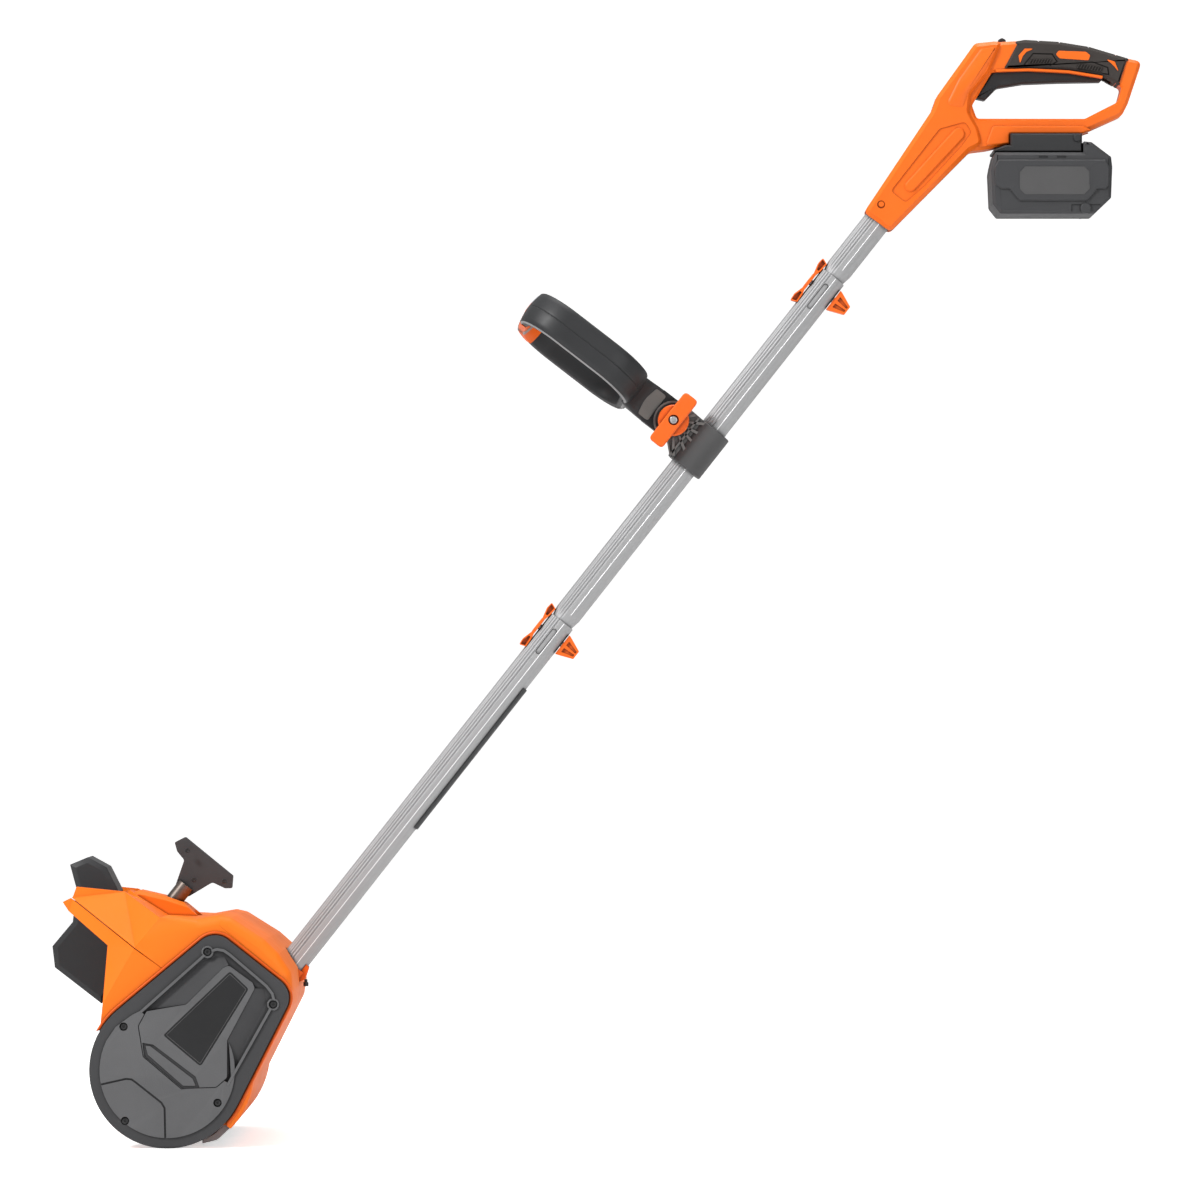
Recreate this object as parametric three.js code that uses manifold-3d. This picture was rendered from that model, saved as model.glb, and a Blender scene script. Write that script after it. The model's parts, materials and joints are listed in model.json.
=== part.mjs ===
// Battery single stage snowblower: paddle head, three-section shaft, front loop handle and rear handle.
// Millimetres, +Z up. X runs from the throwing side (-X) to the rear handle (+X), Y across the machine.
// The stance is the working one: the rotor housing stands on the ground and the shaft rises to the rear.
// Outlines are drawn in the XZ plane from a datum whose ground line is Z = 0; the whole machine is then
// moved by CENTRE_X so that the origin lies under the middle of its overall box.

import * as THREE from 'three';
import { mergeVertices } from 'three/addons/utils/BufferGeometryUtils.js';
import Module from 'manifold-3d';

const wasm = await Module();
wasm.setup();

// ---------------------------------------------------------------- driving dimensions

const CENTRE_X = 4.2;
const GAP = 0.3; // air between touching pieces

const ROTOR_X = -415;
const ROTOR_Z = 76;
const COVER_R = 76;
const SHROUD_R = 84; // rear wall round the rotor
const COVER_FACE_Y = 160; // outer face of each side cover
const HOUSING_Y = 148; // side faces of the housing
const CHAMBER_Y = 134; // inner faces of the cheeks
const CHAMBER_R = 70;
const SNOUT_Y = 90; // half width of the hood at its tip
const PADDLE_R = 63;
const ROTOR_Y = 130;
const DRUM_R = 21;
const ROTOR_SHAFT_R = 6;
const BEARING_R = 13;
const DRIVE_FLOOR_Y = 140; // floor of the belt recess in the near cheek
const ROTOR_PULLEY_R = 33;
const MOTOR_X = -352;
const MOTOR_Z = 164.5;
const MOTOR_R = 19;
const MOTOR_PULLEY_R = 10.5;
const BELT_Y = -152; // near edge of the belt
const BELT_WIDTH = 9;
const BELT_THICK = 2.4;
const COVER_SCREWS = [[-376, 191], [-312, 140], [-457.5, 118.5], [-366, 44.5], [-456, 27]];

const SHAFT_ANGLE = THREE.MathUtils.degToRad(51.8);
const SHAFT_START = [-291.6, 184.5]; // where the shaft axis leaves the head, t = 0
const TUBE_R = 14;
const TUBE_WALL = 1.8;
const NECK_R = 11.9;
const TUBE_FOOT_T = -48;
const LOWER_BOLT_T = 402;
const UPPER_BOLT_T = 840.5;
const SOCKET_PAST_BOLT = 18; // socket end of the outer tube, beyond the bolt
const NECK_BELOW_BOLT = 60; // insertion of the inner tube, below the bolt
const TUBE_TOP_T = 990;
const BOLT_R = 3;
const SLOT_LENGTH = 31;
const SLOT_WIDTH = 6;
const SLOT_BELOW_BOLT = 7.5;
const KNOB_HALF = 26;

const STEER_POINT = [-416, 240.4]; // where the steering stem leaves the hood
const STEM_R = 8.5;
const VANE_Y = 30;
const VANE_THICK = 3;
const HOOD_NOTCH_R = 43;
const HOOD_NOTCH_HALF_ANGLE = THREE.MathUtils.degToRad(68);
const NOTCH_HALF_Y = 81; // the hood's side walls outside this stay whole up to the tip

const PIVOT_T = 646; // front handle pivot, in the shaft frame
const PIVOT_N = 36.5;
const SLEEVE_T = [616, 665];
const SLEEVE_R = 19.7;
const LUG_R = 20;
const LUG_Y = [10.2, 17];
const LOOP_ANGLE = THREE.MathUtils.degToRad(142.3); // direction of the loop arm in the XZ plane
const LOOP_ROLL = THREE.MathUtils.degToRad(6.5);
const LOOP_START = 45;
const LOOP_END = 184;
const LOOP_HALF_WIDTH = 64;
const LOOP_CORNER_INSET = 20; // half width minus the radius of the loop's rounded corners
const LOOP_BAND = 36; // width of the band, across the plane of the loop
const LOOP_THICK = 13;
const ARM_HALF = 19;

const HANDLE_Y = 19;
const STALK_Y = 22;
const GRIP_Y = 18.5;
const GRIP_CORE_Y = 14.5;
const BATTERY_Y = 37.5;
const FOOT_Y = 30;
const TRIGGER_Y = 9;

// ---------------------------------------------------------------- materials

const finishes = {
  orangeShell: { color: 0xf5822d, roughness: 0.5, metalness: 0 },
  orangeKnob: { color: 0xf0642a, roughness: 0.45, metalness: 0 },
  coverPlastic: { color: 0x6a6a6b, roughness: 0.75, metalness: 0 },
  darkPlastic: { color: 0x3c3d3f, roughness: 0.6, metalness: 0 },
  greyPlastic: { color: 0x5a5b5d, roughness: 0.6, metalness: 0 },
  gripRubber: { color: 0x4a4543, roughness: 0.85, metalness: 0 },
  batteryPlastic: { color: 0x4b4c4e, roughness: 0.65, metalness: 0 },
  tubeAluminium: { color: 0xa6a7a9, roughness: 0.38, metalness: 0.8 },
  steel: { color: 0x9a9a9c, roughness: 0.35, metalness: 1 },
  blackScrew: { color: 0x1c1c1e, roughness: 0.5, metalness: 0.6 },
  rubber: { color: 0x222224, roughness: 0.9, metalness: 0 },
};

const materials = Object.fromEntries(
  Object.entries(finishes).map(([name, values]) => [name, new THREE.MeshStandardMaterial(values)]),
);

// ---------------------------------------------------------------- outlines

const circle = (x, z, radius, steps = 32) => Array.from({ length: steps }, (_, i) => {
  const angle = (2 * Math.PI * i) / steps;
  return [x + radius * Math.cos(angle), z + radius * Math.sin(angle)];
});

const arc = (x, z, radius, from, to, steps) => Array.from({ length: steps + 1 }, (_, i) => {
  const angle = from + ((to - from) * i) / steps;
  return [x + radius * Math.cos(angle), z + radius * Math.sin(angle)];
});

// Outline round a ring of circles [x, z, radius], given counter-clockwise.
function aroundCircles(circles, steps = 14) {
  const normals = circles.map(([x, z, radius], i) => {
    const [nextX, nextZ, nextRadius] = circles[(i + 1) % circles.length];
    const distance = Math.hypot(nextX - x, nextZ - z);
    return Math.atan2(nextZ - z, nextX - x) - Math.acos((radius - nextRadius) / distance);
  });
  return circles.flatMap(([x, z, radius], i) => {
    const from = normals[(i + circles.length - 1) % circles.length];
    let to = normals[i];
    while (to < from) to += 2 * Math.PI;
    while (to > from + 2 * Math.PI) to -= 2 * Math.PI;
    const count = Math.max(3, Math.round((steps * (to - from)) / Math.PI));
    return arc(x, z, radius, from, to, count);
  });
}

// Outline moved outward by distance (inward when negative), with mitred corners.
function offset(points, distance) {
  const turn = Math.sign(THREE.ShapeUtils.area(points.map(([x, y]) => ({ x, y }))));
  return points.map(([x, y], i) => {
    const [px, py] = points[(i + points.length - 1) % points.length];
    const [qx, qy] = points[(i + 1) % points.length];
    const before = new THREE.Vector2(y - py, px - x).normalize();
    const after = new THREE.Vector2(qy - y, x - qx).normalize();
    const push = (turn * distance) / (1 + before.dot(after));
    return [x + (before.x + after.x) * push, y + (before.y + after.y) * push];
  });
}

// Outline with the corners rounded: points are [x, z] or [x, z, radius].
function rounded(points, steps = 3) {
  return points.flatMap(([x, z, radius = 0], i) => {
    if (radius === 0) return [[x, z]];
    const corner = new THREE.Vector2(x, z);
    const previous = points[(i + points.length - 1) % points.length];
    const next = points[(i + 1) % points.length];
    const back = new THREE.Vector2(previous[0] - x, previous[1] - z).normalize();
    const ahead = new THREE.Vector2(next[0] - x, next[1] - z).normalize();
    const half = Math.acos(back.dot(ahead)) / 2;
    const reach = radius / Math.tan(half);
    const curve = new THREE.QuadraticBezierCurve(
      corner.clone().addScaledVector(back, reach),
      corner,
      corner.clone().addScaledVector(ahead, reach),
    );
    return curve.getPoints(steps).map((point) => [point.x, point.y]);
  });
}

// ---------------------------------------------------------------- solids

// Plate with an XZ outline, from y = low to y = high.
function plate(outline, low, high, holes = []) {
  const shape = new THREE.Shape(outline.map(([x, z]) => new THREE.Vector2(x, z)));
  for (const hole of holes) {
    shape.holes.push(new THREE.Path(hole.map(([x, z]) => new THREE.Vector2(x, z))));
  }
  const geometry = new THREE.ExtrudeGeometry(shape, { depth: high - low, bevelEnabled: false });
  return geometry.rotateX(Math.PI / 2).translate(0, high, 0);
}

const box = (low, high) => new THREE.BoxGeometry(
  high[0] - low[0],
  high[1] - low[1],
  high[2] - low[2],
).translate((low[0] + high[0]) / 2, (low[1] + high[1]) / 2, (low[2] + high[2]) / 2);

// Solid of revolution about Y: profile is [radius, y] and starts and ends on the axis.
const turned = (profile, steps = 32) => new THREE.LatheGeometry(
  profile.map(([radius, y]) => new THREE.Vector2(radius, y)),
  steps,
);

// Ring about Y: the profile closes on itself.
const ring = (profile, steps = 32) => turned([...profile, profile[0]], steps);

const rod = (radius, low, high, steps = 24) => turned([[0, low], [radius, low], [radius, high], [0, high]], steps);

const sleeve = (inner, outer, low, high, steps = 32) => ring(
  [[inner, low], [outer, low], [outer, high], [inner, high]],
  steps,
);

// Pieces drawn about Y are laid along X or Z with these.
const alongX = (geometry) => geometry.rotateZ(-Math.PI / 2);
const alongZ = (geometry) => geometry.rotateX(Math.PI / 2);

// Moves a piece from a frame turned by angle in the XZ plane, with its origin at point, to the datum frame.
const inFrame = (geometry, [x, z], angle) => geometry.rotateY(-angle).translate(x, 0, z);
const onShaft = (geometry) => inFrame(geometry, SHAFT_START, SHAFT_ANGLE);
const onSteering = (geometry) => inFrame(geometry, STEER_POINT, SHAFT_ANGLE);

function solid(geometry) {
  const bare = geometry.clone();
  bare.deleteAttribute('normal');
  bare.deleteAttribute('uv');
  const merged = mergeVertices(bare, 1e-4);
  return new wasm.Manifold(new wasm.Mesh({
    numProp: 3,
    vertProperties: new Float32Array(merged.attributes.position.array),
    triVerts: new Uint32Array(merged.index.array),
  }));
}

function geometryOf(manifold) {
  const mesh = manifold.getMesh();
  const geometry = new THREE.BufferGeometry();
  geometry.setAttribute('position', new THREE.BufferAttribute(mesh.vertProperties, 3));
  geometry.setIndex(new THREE.BufferAttribute(mesh.triVerts, 1));
  return geometry;
}

const joined = (...pieces) => geometryOf(
  pieces.slice(1).reduce((whole, piece) => whole.add(solid(piece)), solid(pieces[0])),
);

const cut = (base, ...tools) => geometryOf(
  tools.reduce((whole, tool) => whole.subtract(solid(tool)), solid(base)),
);

const machine = new THREE.Group();

const frameGroup = ([x, z], angle) => {
  const group = new THREE.Group();
  group.position.set(x, 0, z);
  group.rotation.y = -angle;
  machine.add(group);
  return group;
};

const shaft = frameGroup(SHAFT_START, SHAFT_ANGLE);
const steering = frameGroup(STEER_POINT, SHAFT_ANGLE);

function add(group, name, finish, geometry) {
  const mesh = new THREE.Mesh(geometry, materials[finish]);
  mesh.name = name;
  group.add(mesh);
  return mesh;
}

// ---------------------------------------------------------------- head housing

const HOUSING_OUTLINE = [
  [-523, 236], [-517, 228], [-475.5, 195], [-479, 140], [-482, 109], [ROTOR_X, ROTOR_Z], [-361, 25.5],
  ...arc(ROTOR_X, ROTOR_Z, SHROUD_R, -0.75, -0.14, 5),
  [-324, 80], [-296, 136, 8], [-293.5, 150, 4], [-294, 168, 8], [-307, 188, 8], [-321, 201],
  [-354, 221.5, 8], [-365, 224, 6], [-387, 219, 8], [-423, 223], [-462, 246], [-509.5, 251, 2],
];
const DUCT_OUTLINE = [
  [-620, 63], [ROTOR_X, ROTOR_Z], [-359, 114], [-388, 148], [-412, 188], [-424, 218], [-462, 241],
  [-509, 246], [-620, 250],
];
const BAY_OUTLINE = [
  [-415, 218], [-406, 190], [-383, 151], [-355, 119], [-343, 101], [-334, 84, 4], [-327, 84, 3],
  [-300, 137], [-297.5, 150], [-298, 166], [-310, 184.5], [-323, 197], [-355, 217, 6], [-365, 219.5],
  [-387, 214.5],
];
const STEM_BOSS = [
  [-460, 222], [-468, 240], [-452, 246, 6], [-428, 240.5], [-408, 233], [-396, 224], [-396, 214],
  [-424, 214],
];
const COVER_CIRCLES = [[ROTOR_X, ROTOR_Z, COVER_R], [-317.5, 146, 20.5], [-369, 186.5, 20.5]];
const DRIVE_CIRCLES = [[ROTOR_X, ROTOR_Z, 40], [MOTOR_X, MOTOR_Z, 20.5]];
const LIP = 3.5; // raised edge of the housing round the near cover

const coverOutline = (grow) => aroundCircles(
  COVER_CIRCLES.map(([x, z, radius]) => [x, z, radius + grow]),
  24,
);
const driveOutline = aroundCircles(DRIVE_CIRCLES);

// Sector of the hood that stays open for the steering vanes, in the frame of the steering stem.
function hoodNotch() {
  const half = HOOD_NOTCH_HALF_ANGLE;
  const reach = NOTCH_HALF_Y / Math.tan(half);
  const outline = [
    ...arc(0, 0, HOOD_NOTCH_R, half, -half, 12),
    [reach, -NOTCH_HALF_Y], [125, -NOTCH_HALF_Y], [125, NOTCH_HALF_Y], [reach, NOTCH_HALF_Y],
  ];
  const shape = new THREE.Shape(outline.map(([n, y]) => new THREE.Vector2(-n, y)));
  const geometry = new THREE.ExtrudeGeometry(shape, { depth: 110, bevelEnabled: false });
  return onSteering(geometry.translate(0, 0, -75).rotateY(Math.PI / 2));
}

const screwHoles = (side, radius, low, high) => COVER_SCREWS.map(([x, z]) => (
  plate(circle(x, z, radius, 12), Math.min(side * low, side * high), Math.max(side * low, side * high))
));

// Wedge beside the hood, seen from above, that narrows it from the cheek to the tip. inset moves it inward.
function hoodWedge(side, inset) {
  const cheek = HOUSING_Y - inset;
  const tip = SNOUT_Y - inset;
  const outline = [[-448, cheek], [-523, tip], [-640, tip], [-640, 200], [-448, 200]];
  const shape = new THREE.Shape(outline.map(([x, y]) => new THREE.Vector2(x, side * y)));
  return new THREE.ExtrudeGeometry(shape, { depth: 100, bevelEnabled: false }).translate(0, 0, 195.5);
}

// Raised edge round the near cover; it stops where the cover's own rim takes over below the rotor.
function coverLip() {
  return cut(
    plate(coverOutline(LIP), -HOUSING_Y - 2, -HOUSING_Y + 6),
    plate(coverOutline(GAP), -HOUSING_Y - 3, -HOUSING_Y),
    plate(coverOutline(-6), -HOUSING_Y - 3, -CHAMBER_Y),
    plate([[-620, 109], [-482, 109], [ROTOR_X, ROTOR_Z], [-361, 25.5], [-300, -60], [-620, -60]], -200, -100),
  );
}

function housing() {
  const shell = joined(
    plate(rounded(HOUSING_OUTLINE), -HOUSING_Y, HOUSING_Y),
    plate(circle(ROTOR_X, ROTOR_Z, COVER_R, 56), CHAMBER_Y, HOUSING_Y),
    plate(coverOutline(0), -HOUSING_Y, -CHAMBER_Y),
  );
  const duct = cut(
    plate(rounded(DUCT_OUTLINE), -CHAMBER_Y, CHAMBER_Y),
    hoodWedge(-1, 8),
    hoodWedge(1, 8),
  );
  const open = cut(
    shell,
    plate(circle(ROTOR_X, ROTOR_Z, CHAMBER_R, 56), -CHAMBER_Y, CHAMBER_Y),
    plate([[-620, 63], [ROTOR_X, ROTOR_Z], [-362, 24.5], [-362, -20], [-620, -20]], -CHAMBER_Y, CHAMBER_Y),
    duct,
    hoodWedge(-1, 0),
    hoodWedge(1, 0),
    plate(rounded(BAY_OUTLINE), -DRIVE_FLOOR_Y, -24),
    plate(rounded(BAY_OUTLINE), 24, DRIVE_FLOOR_Y),
    plate(driveOutline, -HOUSING_Y - 1, -DRIVE_FLOOR_Y),
    plate(circle(MOTOR_X, MOTOR_Z, 20.5, 20), DRIVE_FLOOR_Y - 2, HOUSING_Y + 1),
    plate(circle(ROTOR_X, ROTOR_Z, BEARING_R + GAP), -HOUSING_Y, HOUSING_Y + 1),
    hoodNotch(),
  );
  return cut(
    joined(
      open,
      plate(rounded(STEM_BOSS), -24, 24),
      coverLip(),
    ),
    onShaft(alongX(rod(TUBE_R + 5.3, TUBE_FOOT_T - 4, 40))),
    onSteering(alongX(rod(STEM_R + GAP, -60, 60))),
    ...screwHoles(-1, 2.3, DRIVE_FLOOR_Y - 1, HOUSING_Y + 1),
  );
}

function nearCover() {
  return cut(
    joined(
      plate(coverOutline(0), -COVER_FACE_Y + 1.5, -HOUSING_Y - GAP),
      plate(coverOutline(-2), -COVER_FACE_Y, -COVER_FACE_Y + 2),
    ),
    plate(driveOutline, -COVER_FACE_Y + 3, -HOUSING_Y + 1),
    ...screwHoles(-1, 2.3, HOUSING_Y, COVER_FACE_Y + 1),
    ...screwHoles(-1, 4.3, COVER_FACE_Y - 4, COVER_FACE_Y + 1),
  );
}

function farCover() {
  const outline = aroundCircles([[ROTOR_X, ROTOR_Z, 70], [MOTOR_X, MOTOR_Z, 24]], 24);
  return joined(
    plate(outline, HOUSING_Y + GAP, COVER_FACE_Y - 3),
    plate(offset(outline, -4), COVER_FACE_Y - 4, COVER_FACE_Y),
  );
}

add(machine, 'head_housing', 'orangeShell', housing());
add(machine, 'near_side_cover', 'coverPlastic', nearCover());
add(machine, 'far_side_cover', 'coverPlastic', farCover());

COVER_SCREWS.forEach(([x, z], i) => {
  const screw = turned([[0, 0.8], [3.9, 0.8], [3.9, 3.6], [2, 3.6], [2, 18], [0, 18]], 12);
  add(machine, `cover_screw_${i + 1}`, 'blackScrew', screw).position.set(x, -COVER_FACE_Y, z);
});

const SCRAPER_OUTLINE = [
  [-354.8, 18.6], [-361.4, 24.4], [-369.3, 13.6], [-382.5, 6.5], [-382.5, 3], [-367.8, 6.6],
];
add(machine, 'scraper_bar', 'greyPlastic', plate(SCRAPER_OUTLINE, -CHAMBER_Y + 1, CHAMBER_Y - 1));

// ---------------------------------------------------------------- rotor and belt drive

function paddle(start) {
  const steps = 6;
  const sweep = 0.5;
  const thick = 4.5;
  const side = (lift) => Array.from({ length: steps + 1 }, (_, i) => {
    const radius = DRUM_R + GAP + ((PADDLE_R - DRUM_R - GAP) * i) / steps;
    const angle = start + (sweep * i * i) / (steps * steps) + lift / radius;
    return [radius * Math.cos(angle), radius * Math.sin(angle)];
  });
  return plate([...side(-thick / 2), ...side(thick / 2).reverse()], -ROTOR_Y + 1, ROTOR_Y - 1);
}

const rotor = new THREE.Group();
rotor.position.set(ROTOR_X, 0, ROTOR_Z);
machine.add(rotor);
add(rotor, 'rotor_shaft', 'steel', rod(ROTOR_SHAFT_R, -HOUSING_Y - 5, HOUSING_Y, 20));
add(rotor, 'rotor_drum', 'darkPlastic', sleeve(ROTOR_SHAFT_R + GAP, DRUM_R, -ROTOR_Y, ROTOR_Y));
[0.35, 0.35 + Math.PI].forEach((start, i) => {
  add(rotor, `rotor_paddle_${i + 1}`, 'rubber', paddle(start));
});
[-1, 1].forEach((side, i) => {
  const middle = (side * (CHAMBER_Y + DRIVE_FLOOR_Y)) / 2;
  const bearing = sleeve(ROTOR_SHAFT_R + GAP, BEARING_R, middle - 2.8, middle + 2.8, 24);
  add(rotor, ['rotor_bearing_near', 'rotor_bearing_far'][i], 'steel', bearing);
});
add(rotor, 'rotor_pulley', 'greyPlastic', ring([
  [ROTOR_SHAFT_R + GAP, BELT_Y],
  [ROTOR_PULLEY_R, BELT_Y],
  [ROTOR_PULLEY_R, BELT_Y + BELT_WIDTH],
  [ROTOR_SHAFT_R + GAP, BELT_Y + BELT_WIDTH],
], 40));

function beltLoop() {
  const circles = [
    [ROTOR_X, ROTOR_Z, ROTOR_PULLEY_R + GAP],
    [MOTOR_X, MOTOR_Z, MOTOR_PULLEY_R + GAP],
  ];
  const inner = aroundCircles(circles, 18);
  const outer = aroundCircles(circles.map(([x, z, radius]) => [x, z, radius + BELT_THICK]), 18);
  return plate(outer, BELT_Y + 0.5, BELT_Y + BELT_WIDTH - 0.5, [inner.reverse()]);
}
add(machine, 'drive_belt', 'rubber', beltLoop());

const motor = new THREE.Group();
motor.position.set(MOTOR_X, 0, MOTOR_Z);
machine.add(motor);
add(motor, 'drive_motor', 'steel', turned([
  [0, -78], [12, -78], [MOTOR_R, -82], [MOTOR_R, -136], [7, -136], [7, -141], [0, -141],
].reverse()));
add(motor, 'motor_pulley', 'steel', turned([
  [0, BELT_Y - 1], [MOTOR_PULLEY_R, BELT_Y - 1], [MOTOR_PULLEY_R, BELT_Y + BELT_WIDTH],
  [0, BELT_Y + BELT_WIDTH],
], 24));

// ---------------------------------------------------------------- steering vanes and T-handle

// Drawn in the frame of the stem: first value along the stem, second towards the throwing side.
const VANE_OUTLINE = [
  [-129, -8], [-129.5, 51], [-114.5, 66], [-83, 65], [-54.5, 83], [-40, 102.5], [-23, 93], [-19.5, 72],
  [-31, 47.5], [-42, 45.5], [-60, 30], [-75, -8],
];
const VANE_ROOF = [
  [-41.5, 98.5], [-40, 102.5], [-23, 93], [-19.5, 72], [-31, 47.5], [-34, 48.9], [-22.9, 72.2],
  [-25.8, 90.8],
];

function vanes() {
  const plates = [-VANE_Y, 0, VANE_Y].map((y) => plate(VANE_OUTLINE, y - VANE_THICK / 2, y + VANE_THICK / 2));
  return joined(
    plate(VANE_ROOF, -VANE_Y - VANE_THICK / 2, VANE_Y + VANE_THICK / 2),
    ...plates,
    plate([[-118, -6], [-118, 6], [-88, 6], [-88, -6]], -VANE_Y, VANE_Y),
    alongX(rod(11, -116, -84.3)),
  );
}
add(steering, 'deflector_vanes', 'darkPlastic', cut(vanes(), alongX(rod(STEM_R + GAP, -110, -50))));
add(steering, 'deflector_stem', 'steel', alongX(rod(STEM_R, -109.5, 30)));

const T_OUTLINE = [
  [6, -9], [6, 8], [32, 17], [34.5, 28], [40, 35.5], [51, 30.5], [50, -31], [39.5, -38], [35, -32.5],
  [32, -19],
];
const T_HALF_Y = 12;
const T_SCREWS = [[42, 20], [23, -3], [41, -28]];

function handleHalf(side) {
  const low = side < 0 ? -T_HALF_Y : GAP / 2;
  const half = plate(T_OUTLINE, low, low + T_HALF_Y - GAP / 2);
  const holes = side < 0 ? T_SCREWS.map(([x, z]) => plate(circle(x, z, 2.6, 12), -T_HALF_Y - 1, -8)) : [];
  return cut(half, alongX(rod(STEM_R + GAP, 0, 30.5)), ...holes);
}
add(steering, 'deflector_handle_near', 'darkPlastic', handleHalf(-1));
add(steering, 'deflector_handle_far', 'darkPlastic', handleHalf(1));
T_SCREWS.forEach(([x, z], i) => {
  add(steering, `handle_screw_${i + 1}`, 'blackScrew', rod(2.3, 0, 3, 12)).position.set(x, -11.4, z);
});

// ---------------------------------------------------------------- shaft tubes and joints

const lowerSocket = LOWER_BOLT_T + SOCKET_PAST_BOLT;
const upperSocket = UPPER_BOLT_T + SOCKET_PAST_BOLT;
const TAPER = 10;

const boltHole = (t) => alongZ(rod(BOLT_R + GAP, -20, 20, 16)).translate(t, 0, 0);

function jointSlot(boltT) {
  const half = (SLOT_LENGTH - SLOT_WIDTH) / 2;
  const middle = boltT - SLOT_BELOW_BOLT;
  const ends = [[middle - half, 0, SLOT_WIDTH / 2], [middle + half, 0, SLOT_WIDTH / 2]];
  return plate(aroundCircles(ends, 6), -TUBE_R - 2, -8);
}

// Tube from low to high; a neck makes its lower end slide into the tube below.
function tube(low, high, neckTop) {
  const inner = TUBE_R - TUBE_WALL;
  const straight = [[inner, low], [TUBE_R, low], [TUBE_R, high], [inner, high]];
  const necked = [
    [NECK_R - TUBE_WALL, low], [NECK_R, low], [NECK_R, neckTop], [TUBE_R, neckTop + TAPER],
    [TUBE_R, high], [inner, high], [inner, neckTop + TAPER], [NECK_R - TUBE_WALL, neckTop],
  ];
  return alongX(ring(neckTop === undefined ? straight : necked, 36));
}

add(shaft, 'lower_tube', 'tubeAluminium', cut(
  tube(TUBE_FOOT_T, lowerSocket),
  boltHole(LOWER_BOLT_T),
  jointSlot(LOWER_BOLT_T),
));
add(shaft, 'middle_tube', 'tubeAluminium', cut(
  tube(LOWER_BOLT_T - NECK_BELOW_BOLT, upperSocket, lowerSocket),
  boltHole(LOWER_BOLT_T),
  boltHole(UPPER_BOLT_T),
  jointSlot(UPPER_BOLT_T),
));
add(shaft, 'upper_tube', 'tubeAluminium', cut(
  tube(UPPER_BOLT_T - NECK_BELOW_BOLT, TUBE_TOP_T, upperSocket),
  boltHole(UPPER_BOLT_T),
));
add(shaft, 'tube_collar', 'orangeKnob', alongX(ring([
  [TUBE_R + GAP, TUBE_FOOT_T], [TUBE_R + 5, TUBE_FOOT_T], [TUBE_R + 5, 6], [TUBE_R + 3, 9],
  [TUBE_R + GAP, 9],
])));
add(shaft, 'power_cable', 'rubber', alongX(rod(2.6, TUBE_FOOT_T + 2, TUBE_TOP_T - 2, 10)).translate(0, 6.4, 0));

// Blank strip stuck along the underside of the lower tube.
const stripArc = (radius, steps) => arc(0, 0, radius, Math.PI * 1.28, Math.PI * 1.72, steps);
const stripOutline = [...stripArc(TUBE_R + GAP, 6), ...stripArc(TUBE_R + 1.2, 6).reverse()];
const stripShape = new THREE.Shape(stripOutline.map(([y, n]) => new THREE.Vector2(-n, y)));
const strip = new THREE.ExtrudeGeometry(stripShape, { depth: 177, bevelEnabled: false });
add(shaft, 'tube_strip', 'darkPlastic', strip.rotateY(Math.PI / 2).translate(167, 0, 0));

const WING_OUTLINE = [
  [-KNOB_HALF, 14.6], [-KNOB_HALF, 19.7], [-19, 19.4], [-8, 16.6], [8, 16.6], [19, 19.4],
  [KNOB_HALF, 19.7], [KNOB_HALF, 14.6],
];
const CAP_OUTLINE = [[-12, -14.4], [-10, -19], [-4.5, -32], [4.5, -32], [10, -19], [12, -14.4]];

function shaftJoint(name, boltT) {
  const wing = joined(
    plate(WING_OUTLINE, -6.5, 6.5),
    alongZ(rod(9, 14.6, 18)),
  );
  add(shaft, `${name}_wing_knob`, 'orangeKnob', cut(wing, alongZ(rod(BOLT_R + GAP, 0, 25, 16))))
    .position.x = boltT;
  add(shaft, `${name}_joint_bolt`, 'steel', alongZ(rod(BOLT_R, -24, 17.6, 16))).position.x = boltT;
  const cap = cut(
    plate(CAP_OUTLINE, -6.5, 6.5),
    alongX(rod(TUBE_R + GAP, -20, 20, 36)),
    alongZ(rod(BOLT_R + GAP, -24.4, 0, 16)),
  );
  add(shaft, `${name}_bolt_cap`, 'orangeKnob', cap).position.x = boltT;
}
shaftJoint('lower', LOWER_BOLT_T);
shaftJoint('upper', UPPER_BOLT_T);

// ---------------------------------------------------------------- front loop handle

const bracket = new THREE.Group();
bracket.position.set(PIVOT_T, 0, PIVOT_N);
shaft.add(bracket);

// Lug outline in the frame of the pivot: first value along the shaft, second away from it.
const LUG_OUTLINE = [
  ...arc(0, 0, LUG_R, -0.1, Math.PI + 0.35, 14), [SLEEVE_T[0] - PIVOT_T, 17 - PIVOT_N],
  [SLEEVE_T[0] - PIVOT_T, 4 - PIVOT_N], [SLEEVE_T[1] - PIVOT_T, 4 - PIVOT_N],
  [SLEEVE_T[1] - PIVOT_T, 17 - PIVOT_N],
];

function clampBracket() {
  const collar = alongX(rod(SLEEVE_R, SLEEVE_T[0] - PIVOT_T, SLEEVE_T[1] - PIVOT_T, 40)).translate(0, 0, -PIVOT_N);
  const bore = alongX(rod(TUBE_R + GAP, -80, 80, 40)).translate(0, 0, -PIVOT_N);
  return cut(
    joined(plate(LUG_OUTLINE, -LUG_Y[1], -LUG_Y[0]), plate(LUG_OUTLINE, LUG_Y[0], LUG_Y[1]), collar),
    bore,
    rod(ARM_HALF + 0.5, -LUG_Y[0], LUG_Y[0], 40),
    rod(4.3, -30, 30, 16),
  );
}
add(bracket, 'clamp_bracket', 'greyPlastic', clampBracket());
add(bracket, 'pivot_bolt', 'steel', turned([
  [0, -33.5], [4, -33.5], [4, 17.3], [7.5, 17.3], [7.5, 22], [0, 22],
], 16));

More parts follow.
